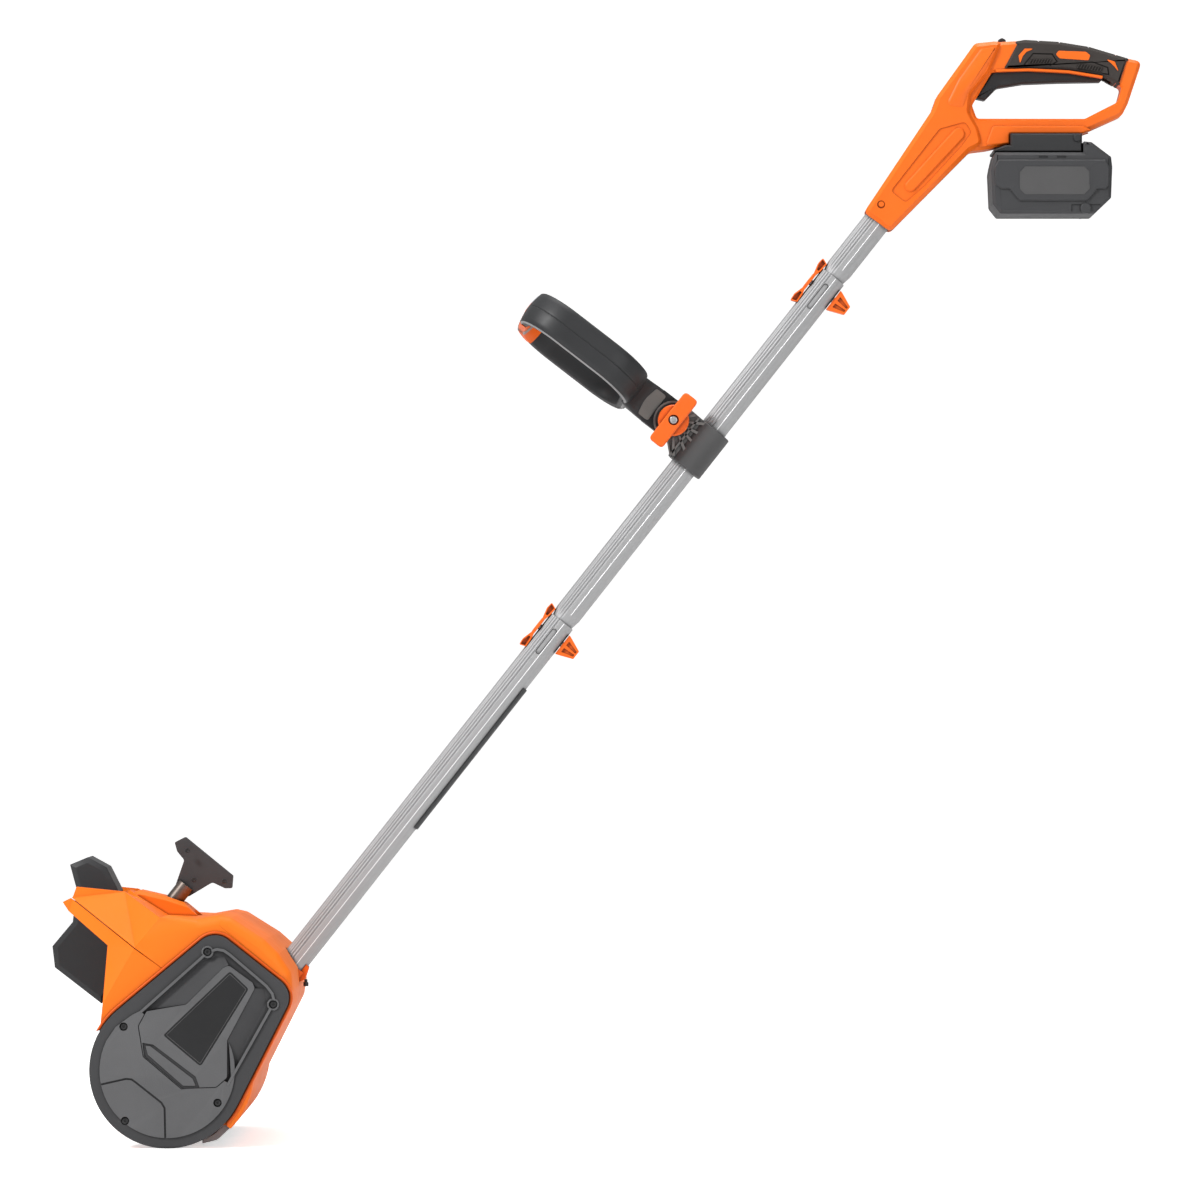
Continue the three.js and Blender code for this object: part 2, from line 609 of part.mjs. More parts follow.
const KNOB_OUTLINE = aroundCircles([[-21, 0, 8.5], [21, 0, 8.5]], 10);
add(bracket, 'front_knob', 'orangeKnob', cut(
  joined(rod(15.5, -28, -17.4, 30), plate(KNOB_OUTLINE, -34, -25)),
  rod(4.3, -40, 0, 16),
  rod(5.3, -40, -31, 16),
));

// The loop is drawn about its arm: local x along the arm, local y across, local z out of its plane.
const loop = new THREE.Group();
loop.rotation.y = SHAFT_ANGLE - LOOP_ANGLE;
bracket.add(loop);

function loopBand(x0, x1, halfWidth, thick, low, high) {
  const radius = halfWidth - LOOP_CORNER_INSET;
  const centres = [[x0 + radius, -1], [x1 - radius, -1], [x1 - radius, 1], [x0 + radius, 1]]
    .map(([x, side]) => [x, side * LOOP_CORNER_INSET, radius]);
  const outer = aroundCircles(centres, 22);
  const inner = aroundCircles(centres.map(([x, y]) => [x, y, radius - thick]), 22);
  const shape = new THREE.Shape(outer.map(([x, y]) => new THREE.Vector2(x, y)));
  shape.holes.push(new THREE.Path(inner.reverse().map(([x, y]) => new THREE.Vector2(x, y))));
  const geometry = new THREE.ExtrudeGeometry(shape, { depth: high - low, bevelEnabled: false });
  return geometry.translate(0, 0, low).rotateX(LOOP_ROLL);
}

const tongue = cut(
  joined(
    plate([...arc(0, 0, ARM_HALF, Math.PI / 2, Math.PI * 1.5, 12), [30, -ARM_HALF], [30, ARM_HALF]], -9.9, 9.9),
    plate([[22, -ARM_HALF], [54, -ARM_HALF], [54, ARM_HALF], [22, ARM_HALF]], -16, 16),
  ),
  rod(4.3, -30, 30, 16),
);
const inlayCut = box([LOOP_END - 18, -34, -13], [LOOP_END + 3, 34, 4]);
const band = loopBand(LOOP_START, LOOP_END, LOOP_HALF_WIDTH, LOOP_THICK, -LOOP_BAND / 2, LOOP_BAND / 2);
const inlayBand = loopBand(
  LOOP_START + 0.4,
  LOOP_END - 0.4,
  LOOP_HALF_WIDTH - 0.4,
  4,
  -LOOP_BAND / 2 + 1,
  LOOP_BAND / 2 - 1,
);
const inlay = geometryOf(solid(inlayBand).intersect(solid(inlayCut)));
const inlaySeat = geometryOf(
  solid(loopBand(LOOP_START - 2, LOOP_END + 2, LOOP_HALF_WIDTH + 2, 6.7, -30, 30))
    .intersect(solid(box([LOOP_END - 20, -34 - GAP, -13 - GAP], [LOOP_END + 5, 34 + GAP, 4 + GAP]))),
);
const loopBody = cut(joined(band, tongue), inlaySeat);
add(loop, 'front_loop', 'darkPlastic', loopBody);
add(loop, 'loop_inlay', 'orangeKnob', inlay);

// ---------------------------------------------------------------- rear handle

const HANDLE_OUTLINE = [
  [269.5, 923, 2], [292.5, 906, 2], [299.5, 905, 2], [375.5, 984], [391.5, 986], [415, 991], [415, 1001],
  [485.5, 1001], [527.5, 1020, 8], [533.5, 1032, 6], [547.5, 1071, 3], [543.5, 1075, 2], [533.5, 1077],
  [494.5, 1088], [463.5, 1093], [430.5, 1095.5], [406.5, 1096], [380.5, 1092, 4], [342.5, 1039], [337.5, 1025],
];
const HAND_OPENING = [
  [377.5, 1030, 4], [383.5, 1016.5, 4], [490.5, 1016.5, 4], [523.5, 1033, 8], [527.5, 1050, 4], [509.5, 1060],
  [474.5, 1065], [434.5, 1066.5], [397.5, 1063],
];
const GRIP_OUTLINE = [
  [419.5, 1093], [408.5, 1068.5], [434.5, 1070], [474.5, 1068.5], [511.5, 1063], [526.5, 1053], [533.5, 1077],
  [494.5, 1088], [463.5, 1093], [430.5, 1095.5],
];
const GRIP_CORE = [
  [400.5, 1047], [409.5, 1065], [422.5, 1087], [430.5, 1091], [463.5, 1088.5], [494.5, 1083.5], [527.5, 1073.5],
  [519.5, 1052], [519.5, 1037],
];
const TRIGGER_OUTLINE = [
  [380.5, 1038], [390, 1035.5, 2], [403.5, 1049], [426.5, 1052.5], [454.5, 1054.5], [506.5, 1054.5, 2],
  [510.5, 1060], [474.5, 1067], [434.5, 1069], [400.5, 1066],
];
const TRIGGER_SLOT = [
  [374.5, 1037], [390.5, 1027], [520.5, 1043], [515.5, 1065], [474.5, 1075], [434.5, 1078], [396.5, 1075],
];
const HANDLE_POCKET = [
  [352.5, 1009], [366.5, 1005], [371.5, 1027], [372.5, 1039], [390.5, 1071], [404.5, 1079], [404.5, 1089], [384.5, 1088],
  [352.5, 1037],
];
const WIRE_POCKET = [[360.5, 999], [388.5, 993], [410.5, 997], [412.5, 1010], [392.5, 1011], [364.5, 1011]];
const STALK_OUTLINE = [
  [269.5, 923, 2], [292.5, 906, 2], [299.5, 905, 2], [375.5, 984], [391.5, 986], [412.5, 991], [412.5, 1003],
  [384.5, 1011], [374.5, 1029], [378.5, 1041], [397.5, 1065], [410.5, 1095], [406.5, 1096], [380.5, 1092, 4],
  [342.5, 1039], [337.5, 1025],
];

// Bore for the upper tube, with the narrower way on for the cable.
const TUBE_SEAT = [
  [0, 900], [TUBE_R + GAP, 900], [TUBE_R + GAP, TUBE_TOP_T + 2], [7, TUBE_TOP_T + 2], [7, 1030], [0, 1030],
];

function handleShell(side) {
  const slab = (outline, high, holes) => (
    side < 0 ? plate(outline, -high, -GAP / 2, holes) : plate(outline, GAP / 2, high, holes)
  );
  const both = (outline, half) => plate(outline, -half, half);
  const gripSeat = cut(both(offset(GRIP_OUTLINE, GAP), 40), both(GRIP_CORE, GRIP_CORE_Y));
  return cut(
    joined(slab(rounded(HANDLE_OUTLINE), HANDLE_Y - 2, [rounded(HAND_OPENING).reverse()]),
      slab(rounded(STALK_OUTLINE), STALK_Y)),
    gripSeat,
    both(TRIGGER_SLOT, TRIGGER_Y + 0.7),
    both(HANDLE_POCKET, 16),
    both(WIRE_POCKET, 12),
    onShaft(alongX(turned(TUBE_SEAT, 36))),
    box([403.5, -4.5, 1085], [413.5, 4.5, 1101]),
  );
}
add(machine, 'handle_shell_left', 'orangeShell', handleShell(-1));
add(machine, 'handle_shell_right', 'orangeShell', handleShell(1));

function gripSleeve() {
  return cut(
    plate(GRIP_OUTLINE, -GRIP_Y, GRIP_Y),
    plate(offset(GRIP_CORE, GAP), -GRIP_CORE_Y - GAP, GRIP_CORE_Y + GAP),
    plate(TRIGGER_SLOT, -TRIGGER_Y - 0.7, TRIGGER_Y + 0.7),
  );
}
add(machine, 'handle_grip', 'gripRubber', gripSleeve());
add(machine, 'trigger', 'darkPlastic', plate(rounded(TRIGGER_OUTLINE), -TRIGGER_Y, TRIGGER_Y));
add(machine, 'trigger_switch', 'blackScrew', box([385, -7, 1075.4], [396, 7, 1086]));
add(machine, 'trigger_spring', 'steel', alongZ(sleeve(1.8, 3.4, 0, 7, 12))).position.set(402, 0, 1067.4);
add(machine, 'lock_off_button', 'darkPlastic', box([404.5, -4, 1088], [412.5, 4, 1099]));

// ---------------------------------------------------------------- battery

const FOOT_OUTLINE = [
  [398.5, 982], [415.4, 985], [415.4, 1000.7], [486.5, 1000.7], [486.5, 982],
];
const CASE_OUTLINE = [
  [395.5, 963], [397, 930, 4], [404.5, 920.3, 3], [498.5, 920.3, 3], [515, 936, 3], [516.2, 967],
  [515, 977], [495.5, 991.7], [487.5, 992.5], [487.5, 981.4], [399.5, 981.4], [396.5, 969],
];
const CELL_OUTLINE = [[402.5, 927], [497.5, 927], [508.5, 939], [508.5, 973], [402.5, 973]];

add(machine, 'battery_foot', 'darkPlastic', plate(FOOT_OUTLINE, -FOOT_Y, FOOT_Y));
add(machine, 'battery_case', 'batteryPlastic', cut(
  plate(rounded(CASE_OUTLINE), -BATTERY_Y, BATTERY_Y),
  plate(CELL_OUTLINE, -BATTERY_Y + 3, BATTERY_Y - 3),
  box([430.5, -20, 967], [475.5, 20, 987]),
  box([512, -14.4, 952.6], [520.5, 14.4, 969.4]),
));
add(machine, 'battery_cells', 'greyPlastic', plate(
  offset(CELL_OUTLINE, -0.5),
  -BATTERY_Y + 3.5,
  BATTERY_Y - 3.5,
));
add(machine, 'battery_latch', 'blackScrew', box([514.9, -14, 953], [517.5, 14, 969]));

machine.position.x = -CENTRE_X;
const group = new THREE.Group();
group.add(machine);

export default group;
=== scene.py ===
# Battery single stage snowblower: the visible pieces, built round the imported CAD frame.
# Helper lengths are millimetres in the CAD's own datum; everything is placed in metres.
import json
from math import acos, atan2, cos, hypot, pi, radians, sin, tan

import bmesh
import bpy
from mathutils import Matrix, Vector


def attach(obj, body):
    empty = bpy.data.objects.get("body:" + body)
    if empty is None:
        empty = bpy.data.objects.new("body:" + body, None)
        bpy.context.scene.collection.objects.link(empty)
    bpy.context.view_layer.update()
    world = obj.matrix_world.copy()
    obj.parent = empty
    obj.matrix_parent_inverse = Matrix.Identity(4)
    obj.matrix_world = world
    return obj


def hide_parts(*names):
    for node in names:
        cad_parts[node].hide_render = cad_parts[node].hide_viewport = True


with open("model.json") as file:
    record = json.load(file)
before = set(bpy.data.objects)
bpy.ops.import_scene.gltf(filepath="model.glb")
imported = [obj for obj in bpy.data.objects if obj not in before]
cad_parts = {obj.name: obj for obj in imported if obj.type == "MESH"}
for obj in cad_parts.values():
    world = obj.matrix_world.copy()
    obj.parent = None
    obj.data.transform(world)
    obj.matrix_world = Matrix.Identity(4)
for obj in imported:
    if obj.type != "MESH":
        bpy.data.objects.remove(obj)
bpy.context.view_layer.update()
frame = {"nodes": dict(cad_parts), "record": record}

# ---- driving dimensions (mm and degrees; the camera's and CREVICE_REACH in metres)
# T is a distance up the shaft from its start, N a distance square to it, up and to the front.

CENTRE_X = 4.2
ROTOR = (-415, 76)
SHAFT_ANGLE = radians(51.8)
SHAFT_START = (-291.6, 184.5)
STEER_POINT = (-416, 240.4)
PIVOT_T = 646
PIVOT_N = 36.5
LOOP_ANGLE = radians(142.3)
LOOP_ROLL = radians(6.5)
TUBE_R = 14
NECK_R = 11.9
TUBE_WALL = 1.8
TUBE_CLEARANCE_R = 14.3  # bores that the tube passes through
TUBE_FOOT_T = -48
TUBE_TOP_T = 990
LOWER_BOLT_T = 402
UPPER_BOLT_T = 840.5
SOCKET_PAST_BOLT = 18  # a tube's wide upper end goes on this far past its bolt
NECK_BELOW_BOLT = 60  # and the next tube's narrow end reaches this far down inside it
TAPER = 10
BOLT_R = 3
BOLT_HOLE_R = 3.3
FLUTES = (35, 49, 63, 77)  # degrees round the tube from its upper side
FLUTE_DEPTH = 1.0
# The bead along each tube is near white: a painted highlight line.
BEAD = 104  # degrees, where the bright bead runs
BEAD_R = 0.42
HALF_WIDTH = 148
SIDE_ROUND = 10
BODY_CORNER_R = 9
HOUSING_WALL = 4.2
NOTCH_HALF_Y = 82
NOTCH_R = 43
NOTCH_HALF_ANGLE = radians(66)
SEAM_WIDTH = 0.9
COVER_THROUGH = (-161, -150)  # depths that cut through the near cover's raised parts
SCREW_POCKET_R = 4.1
SLEEVE = (-30, 19)
PIVOT_BOLT_HOLE_R = 4.3
LOOP_ENDS = (45, 184)
LOOP_CORNER_R = 44
LOOP_CORNER_Y = 20
HALF_GAP = 0.15  # each shell half stops this far from the middle plane
TRIGGER_SLOT_Y = 9.8
# CREVICE_REACH sets how far the painted shade in grooves and corners reaches.
CREVICE_REACH = 0.004  # how near faces have to be to darken each other
CAMERA_PLACE = (-0.0042, -6.0, 0.43605)
CAMERA_AIM = (-0.0042, 0, 0.54205)
SENSOR = 36
FRAME_WIDTH = 1188  # mm covered by the frame at the object
CAMERA_DISTANCE = 6000

DATUM = Matrix.Scale(0.001, 4) @ Matrix.Translation((-CENTRE_X, 0, 0))
SWAP = Matrix(((1, 0, 0, 0), (0, 0, 1, 0), (0, 1, 0, 0), (0, 0, 0, 1)))  # takes (x, z, y) to (x, y, z)


def turned_frame(x, z, angle):
    """Frame at a datum point: x along the angle in the XZ plane, y across the machine."""
    return DATUM @ Matrix.Translation((x, 0, z)) @ Matrix.Rotation(-angle, 4, "Y")


SHAFT = turned_frame(*SHAFT_START, SHAFT_ANGLE)
STEER = turned_frame(*STEER_POINT, SHAFT_ANGLE)
PIVOT = SHAFT @ Matrix.Translation((PIVOT_T, 0, PIVOT_N))
LOOP = PIVOT @ Matrix.Rotation(SHAFT_ANGLE - LOOP_ANGLE, 4, "Y") @ Matrix.Rotation(LOOP_ROLL, 4, "X")

# ---- materials


def new_material(name):
    material = bpy.data.materials.new(name)
    material.use_nodes = True
    tree = material.node_tree
    tree.nodes.clear()
    output = tree.nodes.new("ShaderNodeOutputMaterial")
    shader = tree.nodes.new("ShaderNodeBsdfPrincipled")
    tree.links.new(shader.outputs[0], output.inputs["Surface"])
    return material, tree, shader


def noise(tree, coords, scale, detail=2.0, roughness=0.5):
    node = tree.nodes.new("ShaderNodeTexNoise")
    node.inputs["Scale"].default_value = scale
    node.inputs["Detail"].default_value = detail
    node.inputs["Roughness"].default_value = roughness
    tree.links.new(coords, node.inputs["Vector"])
    return node.outputs["Fac"]


def spread(tree, value, low, high, start=0.3, end=0.7):
    """Maps value from start..end to low..high."""
    node = tree.nodes.new("ShaderNodeMapRange")
    node.inputs["From Min"].default_value = start
    node.inputs["From Max"].default_value = end
    node.inputs["To Min"].default_value = low
    node.inputs["To Max"].default_value = high
    tree.links.new(value, node.inputs["Value"])
    return node.outputs["Result"]


def mixed(tree, factor, first, second, blend="MIX"):
    """Mix of two colours, each of them a socket or plain (r, g, b)."""
    mix = tree.nodes.new("ShaderNodeMix")
    mix.data_type = "RGBA"
    mix.blend_type = blend
    for name, value in (("Factor", factor), ("A", first), ("B", second)):
        if isinstance(value, bpy.types.NodeSocket):
            tree.links.new(value, mix.inputs[name])
        else:
            mix.inputs[name].default_value = value if name == "Factor" else (*value, 1)
    return mix.outputs["Result"]


def painted_crevice_shade(tree, colour, depth):
    """Painted shade: darkens the colour in grooves and along inner corners, where faces lie close together.
    """
    hidden = tree.nodes.new("ShaderNodeAmbientOcclusion")
    hidden.samples = 6
    hidden.inputs["Distance"].default_value = CREVICE_REACH
    grey = tree.nodes.new("ShaderNodeCombineColor")
    level = spread(tree, hidden.outputs["AO"], depth, 1, 0.45, 0.95)
    for channel in ("Red", "Green", "Blue"):
        tree.links.new(level, grey.inputs[channel])
    return mixed(tree, 1, colour, grey.outputs["Color"], "MULTIPLY")


def shade(colour, factor):
    return tuple(min(1.0, part * factor) for part in colour)


def surface(tree, shader, colour, roughness, relief, strength, depth):
    """Joins colour and roughness to the shader, with relief as bumps of that depth in millimetres."""
    tree.links.new(colour, shader.inputs["Base Color"])
    tree.links.new(roughness, shader.inputs["Roughness"])
    bump = tree.nodes.new("ShaderNodeBump")
    bump.inputs["Strength"].default_value = strength
    bump.inputs["Distance"].default_value = depth * 0.001
    tree.links.new(relief, bump.inputs["Height"])
    tree.links.new(bump.outputs["Normal"], shader.inputs["Normal"])


def moulded(name, colour, roughness=0.5, grain=1400, depth=0.04, vary=0.06, wear_and_highlight=0.12, specular=0.5):
    """Moulded plastic: fine spark texture, soft colour variation, edges lighter as slight rubbing and
    partly as painted highlight, and painted shade in grooves and corners.
    """
    material, tree, shader = new_material(name)
    coords = tree.nodes.new("ShaderNodeTexCoord").outputs["Object"]
    cloud = spread(tree, noise(tree, coords, 14, 3), 0, 1)
    base = mixed(tree, cloud, shade(colour, 1 - vary), shade(colour, 1 + vary))
    geometry = tree.nodes.new("ShaderNodeNewGeometry")
    # Sharp convex edges get lighter: partly rubbed wear, partly a painted highlight on the bevels.
    edge = spread(tree, geometry.outputs["Pointiness"], 0, wear_and_highlight, 0.52, 0.6)
    # Painted shade darkens grooves and inner corners.
    worn_and_painted_light = painted_crevice_shade(tree, mixed(tree, edge, base, shade(colour, 1.7)), 0.35)
    rough = spread(tree, noise(tree, coords, 60, 3), roughness - 0.05, roughness + 0.06)
    surface(tree, shader, worn_and_painted_light, rough, noise(tree, coords, grain, 2, 0.6), 0.5, depth)
    shader.inputs["Specular IOR Level"].default_value = specular
    return material


def metal(name, colour, roughness=0.35, metallic=1.0, along_shaft=False, stretch=(6, 900, 900), depth=0.01):
    """Drawn or brushed metal, its streaks along the shaft or along x, with painted shade in grooves and
    corners.
    """
    material, tree, shader = new_material(name)
    coords = tree.nodes.new("ShaderNodeTexCoord").outputs["Object"]
    turned = tree.nodes.new("ShaderNodeMapping")
    turned.inputs["Rotation"].default_value = (0, SHAFT_ANGLE if along_shaft else 0, 0)
    tree.links.new(coords, turned.inputs["Vector"])
    scaled = tree.nodes.new("ShaderNodeMapping")
    scaled.inputs["Scale"].default_value = stretch
    tree.links.new(turned.outputs["Vector"], scaled.inputs["Vector"])
    streak = noise(tree, scaled.outputs["Vector"], 1, 3)
    base = mixed(tree, spread(tree, streak, 0, 1), shade(colour, 0.93), shade(colour, 1.05))
    rough = spread(tree, noise(tree, coords, 12, 3), roughness - 0.04, roughness + 0.05)
    # Painted shade darkens grooves and inner corners of the metal too.
    surface(tree, shader, painted_crevice_shade(tree, base, 0.3), rough, streak, 0.3, depth)
    shader.inputs["Metallic"].default_value = metallic
    return material


ORANGE = moulded("orange_plastic", (0.86, 0.165, 0.006), 0.5, 1500, 0.05, 0.03, 0.05, 0.25)
# A darker copy of the housing orange: painted shade for the lip and the tube socket.
ORANGE_SHADED = moulded("orange_painted_shade", (0.74, 0.105, 0.005), 0.5, 1500, 0.05, 0.03, 0.05, 0.25)
# Grey of the scraper, made lighter to make up for the shade under the housing: partly painted light.
SCRAPER = moulded("scraper_grey", (0.24, 0.24, 0.243), 0.5, 1500, 0.05, 0.08, 0.1, 0.3)
TILE = moulded("inlay_tile", (0.3, 0.29, 0.285), 0.5, 1500, 0.04, 0.06, 0.1, 0.3)
LABEL_DARK = moulded("blank_plate", (0.014, 0.014, 0.015), 0.42, 2200, 0.01, 0.1, 0.1, 0.3)
ORANGE_HANDLE = moulded("orange_handle", (0.8, 0.135, 0.006), 0.45, 1500, 0.05, 0.03, 0.05, 0.3)
ORANGE_KNOB = moulded("orange_knob", (0.82, 0.125, 0.01), 0.42, 1500, 0.03, 0.04, 0.08, 0.3)
COVER_PANEL = moulded("cover_panel", (0.1, 0.1, 0.103), 0.72, 1100, 0.22, 0.07, 0.1, 0.25)
COVER_RIM = moulded("cover_rim", (0.042, 0.042, 0.044), 0.6, 1500, 0.06, 0.06, 0.1, 0.3)
DARK = moulded("dark_plastic", (0.022, 0.0225, 0.024), 0.48, 1500, 0.05, 0.1, 0.1, 0.35)
GREY = moulded("grey_plastic", (0.07, 0.069, 0.07), 0.5, 1500, 0.05, 0.08, 0.12, 0.35)
# Pale grey of the bracket lugs, made paler still against the shade of the knob and arm: partly painted
# light.
GREY_PALE_AND_LIT = moulded("bracket_grey_painted_light", (0.15, 0.147, 0.143), 0.5, 1500, 0.05, 0.08, 0.12, 0.35)
PATCH = moulded("arm_grey", (0.17, 0.16, 0.15), 0.4, 1500, 0.03, 0.08, 0.1, 0.4)
GRIP = moulded("grip_rubber", (0.04, 0.034, 0.031), 0.78, 1800, 0.1, 0.1, 0.15, 0.25)
BATTERY = moulded("battery_plastic", (0.035, 0.0355, 0.038), 0.52, 1500, 0.06, 0.08, 0.12, 0.4)
RUBBER = moulded("rubber", (0.016, 0.016, 0.017), 0.8, 1200, 0.1, 0.1, 0.1, 0.3)
BLACK = moulded("black_metal", (0.012, 0.012, 0.013), 0.45, 1500, 0.02, 0.1, 0.1)
TUBE = metal("tube_aluminium", (0.36, 0.36, 0.365), 0.5, 0.35, True, (3, 500, 500), 0.001)
# Near-white bead colour: a painted highlight along the tubes.
BEAD_HIGHLIGHT = metal("painted_highlight_bead", (0.9, 0.9, 0.91), 0.3, 0.2, True, (3, 500, 500), 0.001)
STEEL = metal("zinc_steel", (0.6, 0.6, 0.61), 0.3)
BRONZE = metal("stem_metal", (0.2, 0.165, 0.145), 0.35)

SLOT_MATERIALS = {
    "orange_shell": (ORANGE, ORANGE_SHADED, ORANGE_HANDLE),
    "orange_knob": (ORANGE_KNOB,),
    "cover_plastic": (COVER_PANEL, COVER_RIM),
    "dark_plastic": (DARK, LABEL_DARK, PATCH),
    "grey_plastic": (GREY, GREY_PALE_AND_LIT, SCRAPER, TILE),
    "grip_rubber": (GRIP,),
    "battery_plastic": (BATTERY,),
    "tube_aluminium": (TUBE, BEAD_HIGHLIGHT),
    "steel": (STEEL, BRONZE),
    "black_screw": (BLACK,),
    "rubber": (RUBBER,),
}
for entry in frame["record"]["subparts"]:
    cad_mesh = frame["nodes"][entry["node"]].data
    cad_mesh.materials.clear()
    cad_mesh.materials.append(SLOT_MATERIALS[entry["material_slot"]][0])

# ---- mesh tools (mm, in a frame)


def placed(name, data):
    """New object in the scene."""
    made = bpy.data.objects.new(name, data)
    bpy.context.scene.collection.objects.link(made)
    return made


def piece(name, verts, faces, space=DATUM):
    """New mesh object from points in the given frame, with outward faces."""
    mesh = bpy.data.meshes.new(name)
    mesh.from_pydata([space @ Vector(v) for v in verts], [], faces)
    shape = bmesh.new()
    shape.from_mesh(mesh)
    bmesh.ops.remove_doubles(shape, verts=shape.verts, dist=1e-6)
    bmesh.ops.delete(shape, geom=[edge for edge in shape.edges if edge.is_wire], context="EDGES")
    bmesh.ops.recalc_face_normals(shape, faces=shape.faces)
    if shape.calc_volume(signed=True) < 0:
        bmesh.ops.reverse_faces(shape, faces=shape.faces)
    shape.to_mesh(mesh)
    shape.free()
    return placed(name, mesh)


def loft(name, rings, space=DATUM, closed=False, caps=True):
    """Skin over rings of equal length; closed joins the last ring to the first."""
    count = len(rings[0])
    verts = [point for ring in rings for point in ring]
    faces = []
    for i in range(len(rings) if closed else len(rings) - 1):
        a, b = i * count, ((i + 1) % len(rings)) * count
        faces += [(a + j, a + (j + 1) % count, b + (j + 1) % count, b + j) for j in range(count)]
    if caps and not closed:
        faces.append(tuple(range(count)))
        faces.append(tuple((len(rings) - 1) * count + j for j in range(count)))
    return piece(name, verts, faces, space)


def prism(name, outline, low, high, space=DATUM):
    """Outline in the frame's XZ plane, from y = low to y = high."""
    return loft(name, [[(x, y, z) for x, z in outline] for y in (low, high)], space)


def lathe(name, profile, axis="y", centre=(0, 0, 0), space=DATUM, steps=48):
    """Solid of revolution: profile is (radius, height along the axis), closing on itself or on the axis."""
    order = {
        "y": lambda a, h, b: (a, h, b), "z": lambda a, h, b: (a, b, h), "x": lambda a, h,
        b: (h, a, b)}[axis]
    rings = []
    for i in range(steps):
        turn = 2 * pi * i / steps
        rings.append(
            [
                tuple(c + v for c, v in zip(centre, order(r * cos(turn), h, r * sin(turn))))
                for r, h in profile])
    return loft(name, rings, space, closed=True)


def rod(name, radius, low, high, axis="x", centre=(0, 0, 0), space=SHAFT, steps=48):
    """Plain round bar from low to high along the axis."""
    profile = [(0, low), (radius, low), (radius, high), (0, high)]
    return lathe(name, profile, axis, centre, space, steps)


def stepped(name, rows, space=DATUM):
    """Loft of outlines at given depths across the machine."""
    return loft(name, [[(x, y, z) for x, z in outline] for outline, y in rows], space)


def raised(name, outline, inset, top, shoulder, root=-HALF_GAP):
    """Near-side layer: inset face at depth top, full outline from the shoulder to the root."""
    return stepped(name, [(grown(outline, -inset), top), (outline, shoulder), (outline, root)])


def pillow(name, outline, inset, top, shoulder):
    """Body across the middle plane: full outline between the shoulders, inset faces at -top and top."""
    slim = grown(outline, -inset)
    return stepped(name, [(slim, -top), (outline, -shoulder), (outline, shoulder), (slim, top)])


def circle(x, z, radius, steps=40, start=0.0, end=2 * pi):
    count = steps if end - start > 2 * pi - 1e-6 else steps + 1
    return [
        (
            x + radius * cos(start + (end - start) * i / steps),
            z + radius * sin(start + (end - start) * i / steps))
        for i in range(count)]


def around_circles(circles, steps=24):
    """Outline round a ring of circles (x, z, radius), counter-clockwise."""
    normals = []
    for i, (x, z, radius) in enumerate(circles):
        nx, nz, nr = circles[(i + 1) % len(circles)]
        gap = hypot(nx - x, nz - z)
        normals.append(atan2(nz - z, nx - x) - acos((radius - nr) / gap))
    points = []
    for i, (x, z, radius) in enumerate(circles):
        start, end = normals[i - 1], normals[i]
        while end < start:
            end += 2 * pi
        count = max(3, round(steps * (end - start) / pi))
        points += [
            (
                x + radius * cos(start + (end - start) * k / count),
                z + radius * sin(start + (end - start) * k / count))
            for k in range(count + 1)]
    return points


def rounded(points, steps=5):
    """Outline whose corners (x, z, radius) are rounded; (x, z) stays sharp."""
    out = []
    for i, point in enumerate(points):
        if len(point) < 3:
            out.append(point)
            continue
        corner = Vector(point[:2])
        back = (Vector(points[i - 1][:2]) - corner).normalized()
        ahead = (Vector(points[(i + 1) % len(points)][:2]) - corner).normalized()
        reach = point[2] / tan(back.angle(ahead) / 2)
        first, last = corner + back * reach, corner + ahead * reach
        for k in range(steps + 1):
            t = k / steps
            out.append(tuple(first * (1 - t) ** 2 + corner * 2 * t * (1 - t) + last * t * t))
    return out


def grown(points, distance):
    """Closed outline moved outward by distance."""
    area = sum(a[0] * b[1] - b[0] * a[1] for a, b in zip(points, points[1:] + points[:1]))
    side = 1 if area > 0 else -1
    out = []
    for i, (x, z) in enumerate(points):
        (px, pz), (qx, qz) = points[i - 1], points[(i + 1) % len(points)]
        a = Vector((z - pz, px - x)).normalized()
        b = Vector((qz - z, x - qx)).normalized()
        push = (a + b) * (side * distance / max(0.25, 1 + a.dot(b)))
        out.append((x + push.x, z + push.y))
    return out


def ribbon(points, width, loop=False):
    """Outline of a band of that width along a polyline."""
    left, right = [], []
    last = len(points) - 1
    for i, (x, z) in enumerate(points):
        before = Vector(points[i]) - Vector(points[i - 1]) if i or loop else None
        after = Vector(points[(i + 1) % len(points)]) - Vector(points[i]) if i < last or loop else None
        before = (before or after).normalized()
        after = (after or before).normalized()
        normal = Vector((-before.y - after.y, before.x + after.x)).normalized()
        half = width / 2 / max(0.4, normal.dot(Vector((-before.y, before.x))))
        left.append((x + normal.x * half, z + normal.y * half))
        right.append((x - normal.x * half, z - normal.y * half))
    return left + right[::-1]


def triangulated(made):
    shape = bmesh.new()
    shape.from_mesh(made.data)
    bmesh.ops.triangulate(shape, faces=shape.faces)
    shape.to_mesh(made.data)
    shape.free()


def is_closed(made):
    """Whether every edge of the mesh joins exactly two faces."""
    shape = bmesh.new()
    shape.from_mesh(made.data)
    whole = all(edge.is_manifold for edge in shape.edges)
    shape.free()
    return whole


def boolean(target, tools, operation="DIFFERENCE"):
    """Cuts the tools from target, or joins them to it; the tools are used up."""
    for tool in tools:
        triangulated(target)
        triangulated(tool)
        modifier = target.modifiers.new("boolean", "BOOLEAN")
        modifier.object = tool
        modifier.operation = operation
        modifier.solver = "MANIFOLD" if is_closed(target) and is_closed(tool) else "EXACT"
        applied(target)
        bpy.data.objects.remove(tool)
    return target


